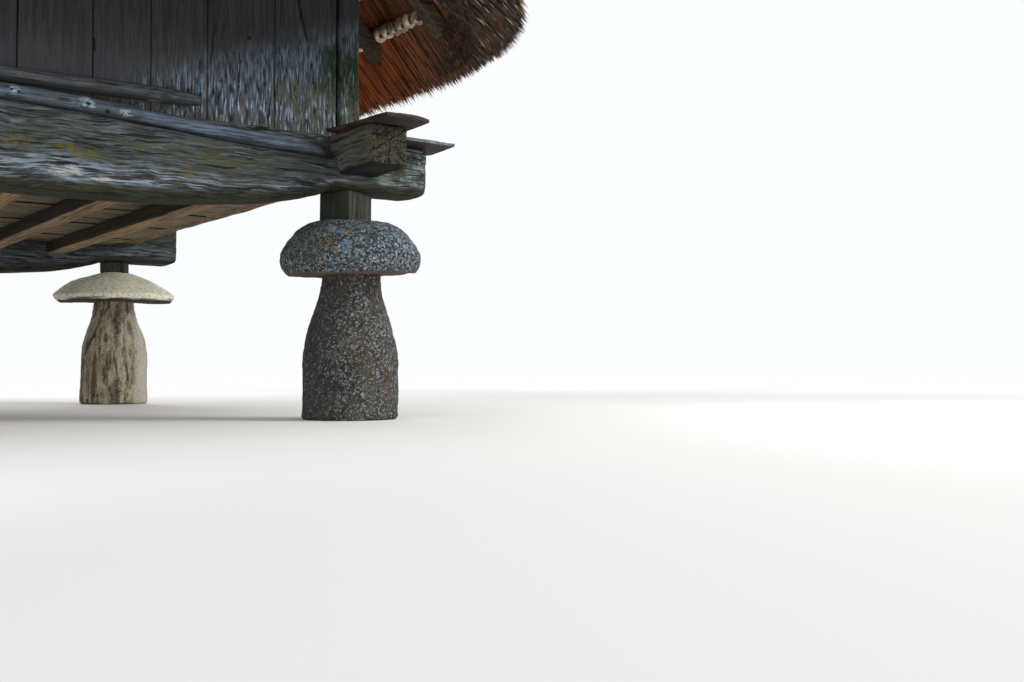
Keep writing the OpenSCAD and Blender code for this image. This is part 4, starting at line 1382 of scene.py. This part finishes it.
# Straw bands
# Twisted bands of straw that tie the thatch down to the two lowest rows of battens, wound
# round them side by side between the rafters.
batten_rows = ((3.045, 2.09), (2.824, 2.20))    # distance from the centre, half length
batten_drop, rafter_clear, least_long, end_clear = 0.036, 0.089, 0.1, 0.02
rafter_xs = [-2.12 + 0.848 * i for i in range(6)]


def band_coat(place):
    turn, tone = stored(place, "wound", "Vector"), stored(place, "straw_tone")
    strand = speckle(turn, (9, 9, 190), 4, 0.7)
    colour = mix(band(strand * 0.8 + tone * 0.25, 0.34, 0.60), (88, 72, 56), (236, 218, 188))
    return colour, 0.88 + strand * 0.08, strand


def wind(lines, pitch, radius, width, thickness, seed):
    """Slanting bands wound side by side round lines."""
    curve = lines.node("GeometryNodeMeshToCurve", {}, {0: lines})
    points, tangent = lines.node("GeometryNodeCurveToPoints", {"mode": "LENGTH"}, {
        "Curve": curve, "Length": pitch}, ("Points", "Tangent"))
    lean = lines.vector("ADD", tangent, chance(seed, (-0.2, -0.2, 0.4), (0.2, 0.2, 0.8), 1))
    turn = lines.node("FunctionNodeAlignRotationToVector", {"axis": "Z"}, {"Vector": lean})
    ring = lines.node("GeometryNodeCurvePrimitiveCircle", {}, {
        "Resolution": 10, "Radius": radius})
    strip = lines.node("GeometryNodeCurvePrimitiveQuadrilateral", {}, {
        "Width": thickness, "Height": width})
    place = lines.node("GeometryNodeInputPosition")
    wound = store(lines.node("GeometryNodeCurveToMesh", {}, {
        "Curve": ring, "Profile Curve": strip}), "wound", place)
    bands = placed(points, wound, turn, chance(seed, (0.9, 0.9, 0.8), (1.12, 1.12, 1.25), 2))
    bands = realized(store(bands, "straw_tone", chance(seed, 0.0, 1.0, 3), "FLOAT", "INSTANCE"))
    return ruffled(bands, speckle(place, 40, 2, 0.5, out="Color"), (0.02, 0.02, 0.02))


lines = bmesh.new()
for side in range(4):
    spin = Matrix.Rotation(radians(90) * side, 3, "Z")
    for u, half in batten_rows:
        stops = [x + s * rafter_clear for x in rafter_xs for s in (-1, 1)]
        stops = [-half] + stops + [half]
        for start, stop in zip(stops[::2], stops[1::2]):
            if stop - start > least_long:
                ends = [lines.verts.new(spin @ Vector((x, -u, thatch_under(u) - batten_drop)))
                        for x in (start + end_clear, stop - end_clear)]
                lines.edges.new(ends)
winding = grown_tree("straw_bands", {
    "Lines": "Geometry", "Pitch": "Float", "Radius": "Float", "Width": "Float",
    "Thickness": "Float", "Seed": "Int", "Finish": "Material"}, wind)
bands = grow("straw_bands", plain_mesh("band_lines", lines), winding, {
    "Pitch": 0.090, "Radius": 0.036, "Width": 0.062, "Thickness": 0.030, "Seed": 5,
    "Finish": finish("band_straw", band_coat)})
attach(bands, "root")

# Crest
# The straw is gathered at the very top and bound into a round knot, which sheds rain off the
# upper ends of the four slopes.
knot_profile = [(0.0, -0.03), (0.20, -0.03), (0.217, 0.02), (0.212, 0.06), (0.185, 0.085),
                (0.200, 0.115), (0.190, 0.15), (0.150, 0.185), (0.09, 0.215), (0.0, 0.228)]
knot_sides = 48
low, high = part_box("thatch_crest")
crest, layers, skin = straw_shell()
rings = []
for r, z in knot_profile:
    ring = []
    for k in range(knot_sides if r else 1):
        turn = 2 * pi * k / knot_sides
        out = Vector((cos(turn), sin(turn), 0))
        spot = out * r + Vector((0, 0, low.z + z))
        corner = crest.verts.new(spot + out * lumps(spot, [(0.012, 6), (0.006, 20)]))
        mark(corner, layers, age=1, straw_tone=0.3, thick=3.2, long=0.32, wild=1.0,
             fall=(out * 0.35 - Vector((0, 0, 1))).normalized(), lay=(turn * 0.4, z, 0))
        ring.append(corner)
    rings.append(ring)
for first, second in zip(rings, rings[1:]):
    for k in range(knot_sides):
        m = (k + 1) % knot_sides
        around = [first[k % len(first)], first[m % len(first)], second[m % len(second)],
                  second[k % len(second)]]
        crest.faces.new(list(dict.fromkeys(around)))[skin] = 1
lay_straw("bound_crest", crest, 9, "thatch_crest")
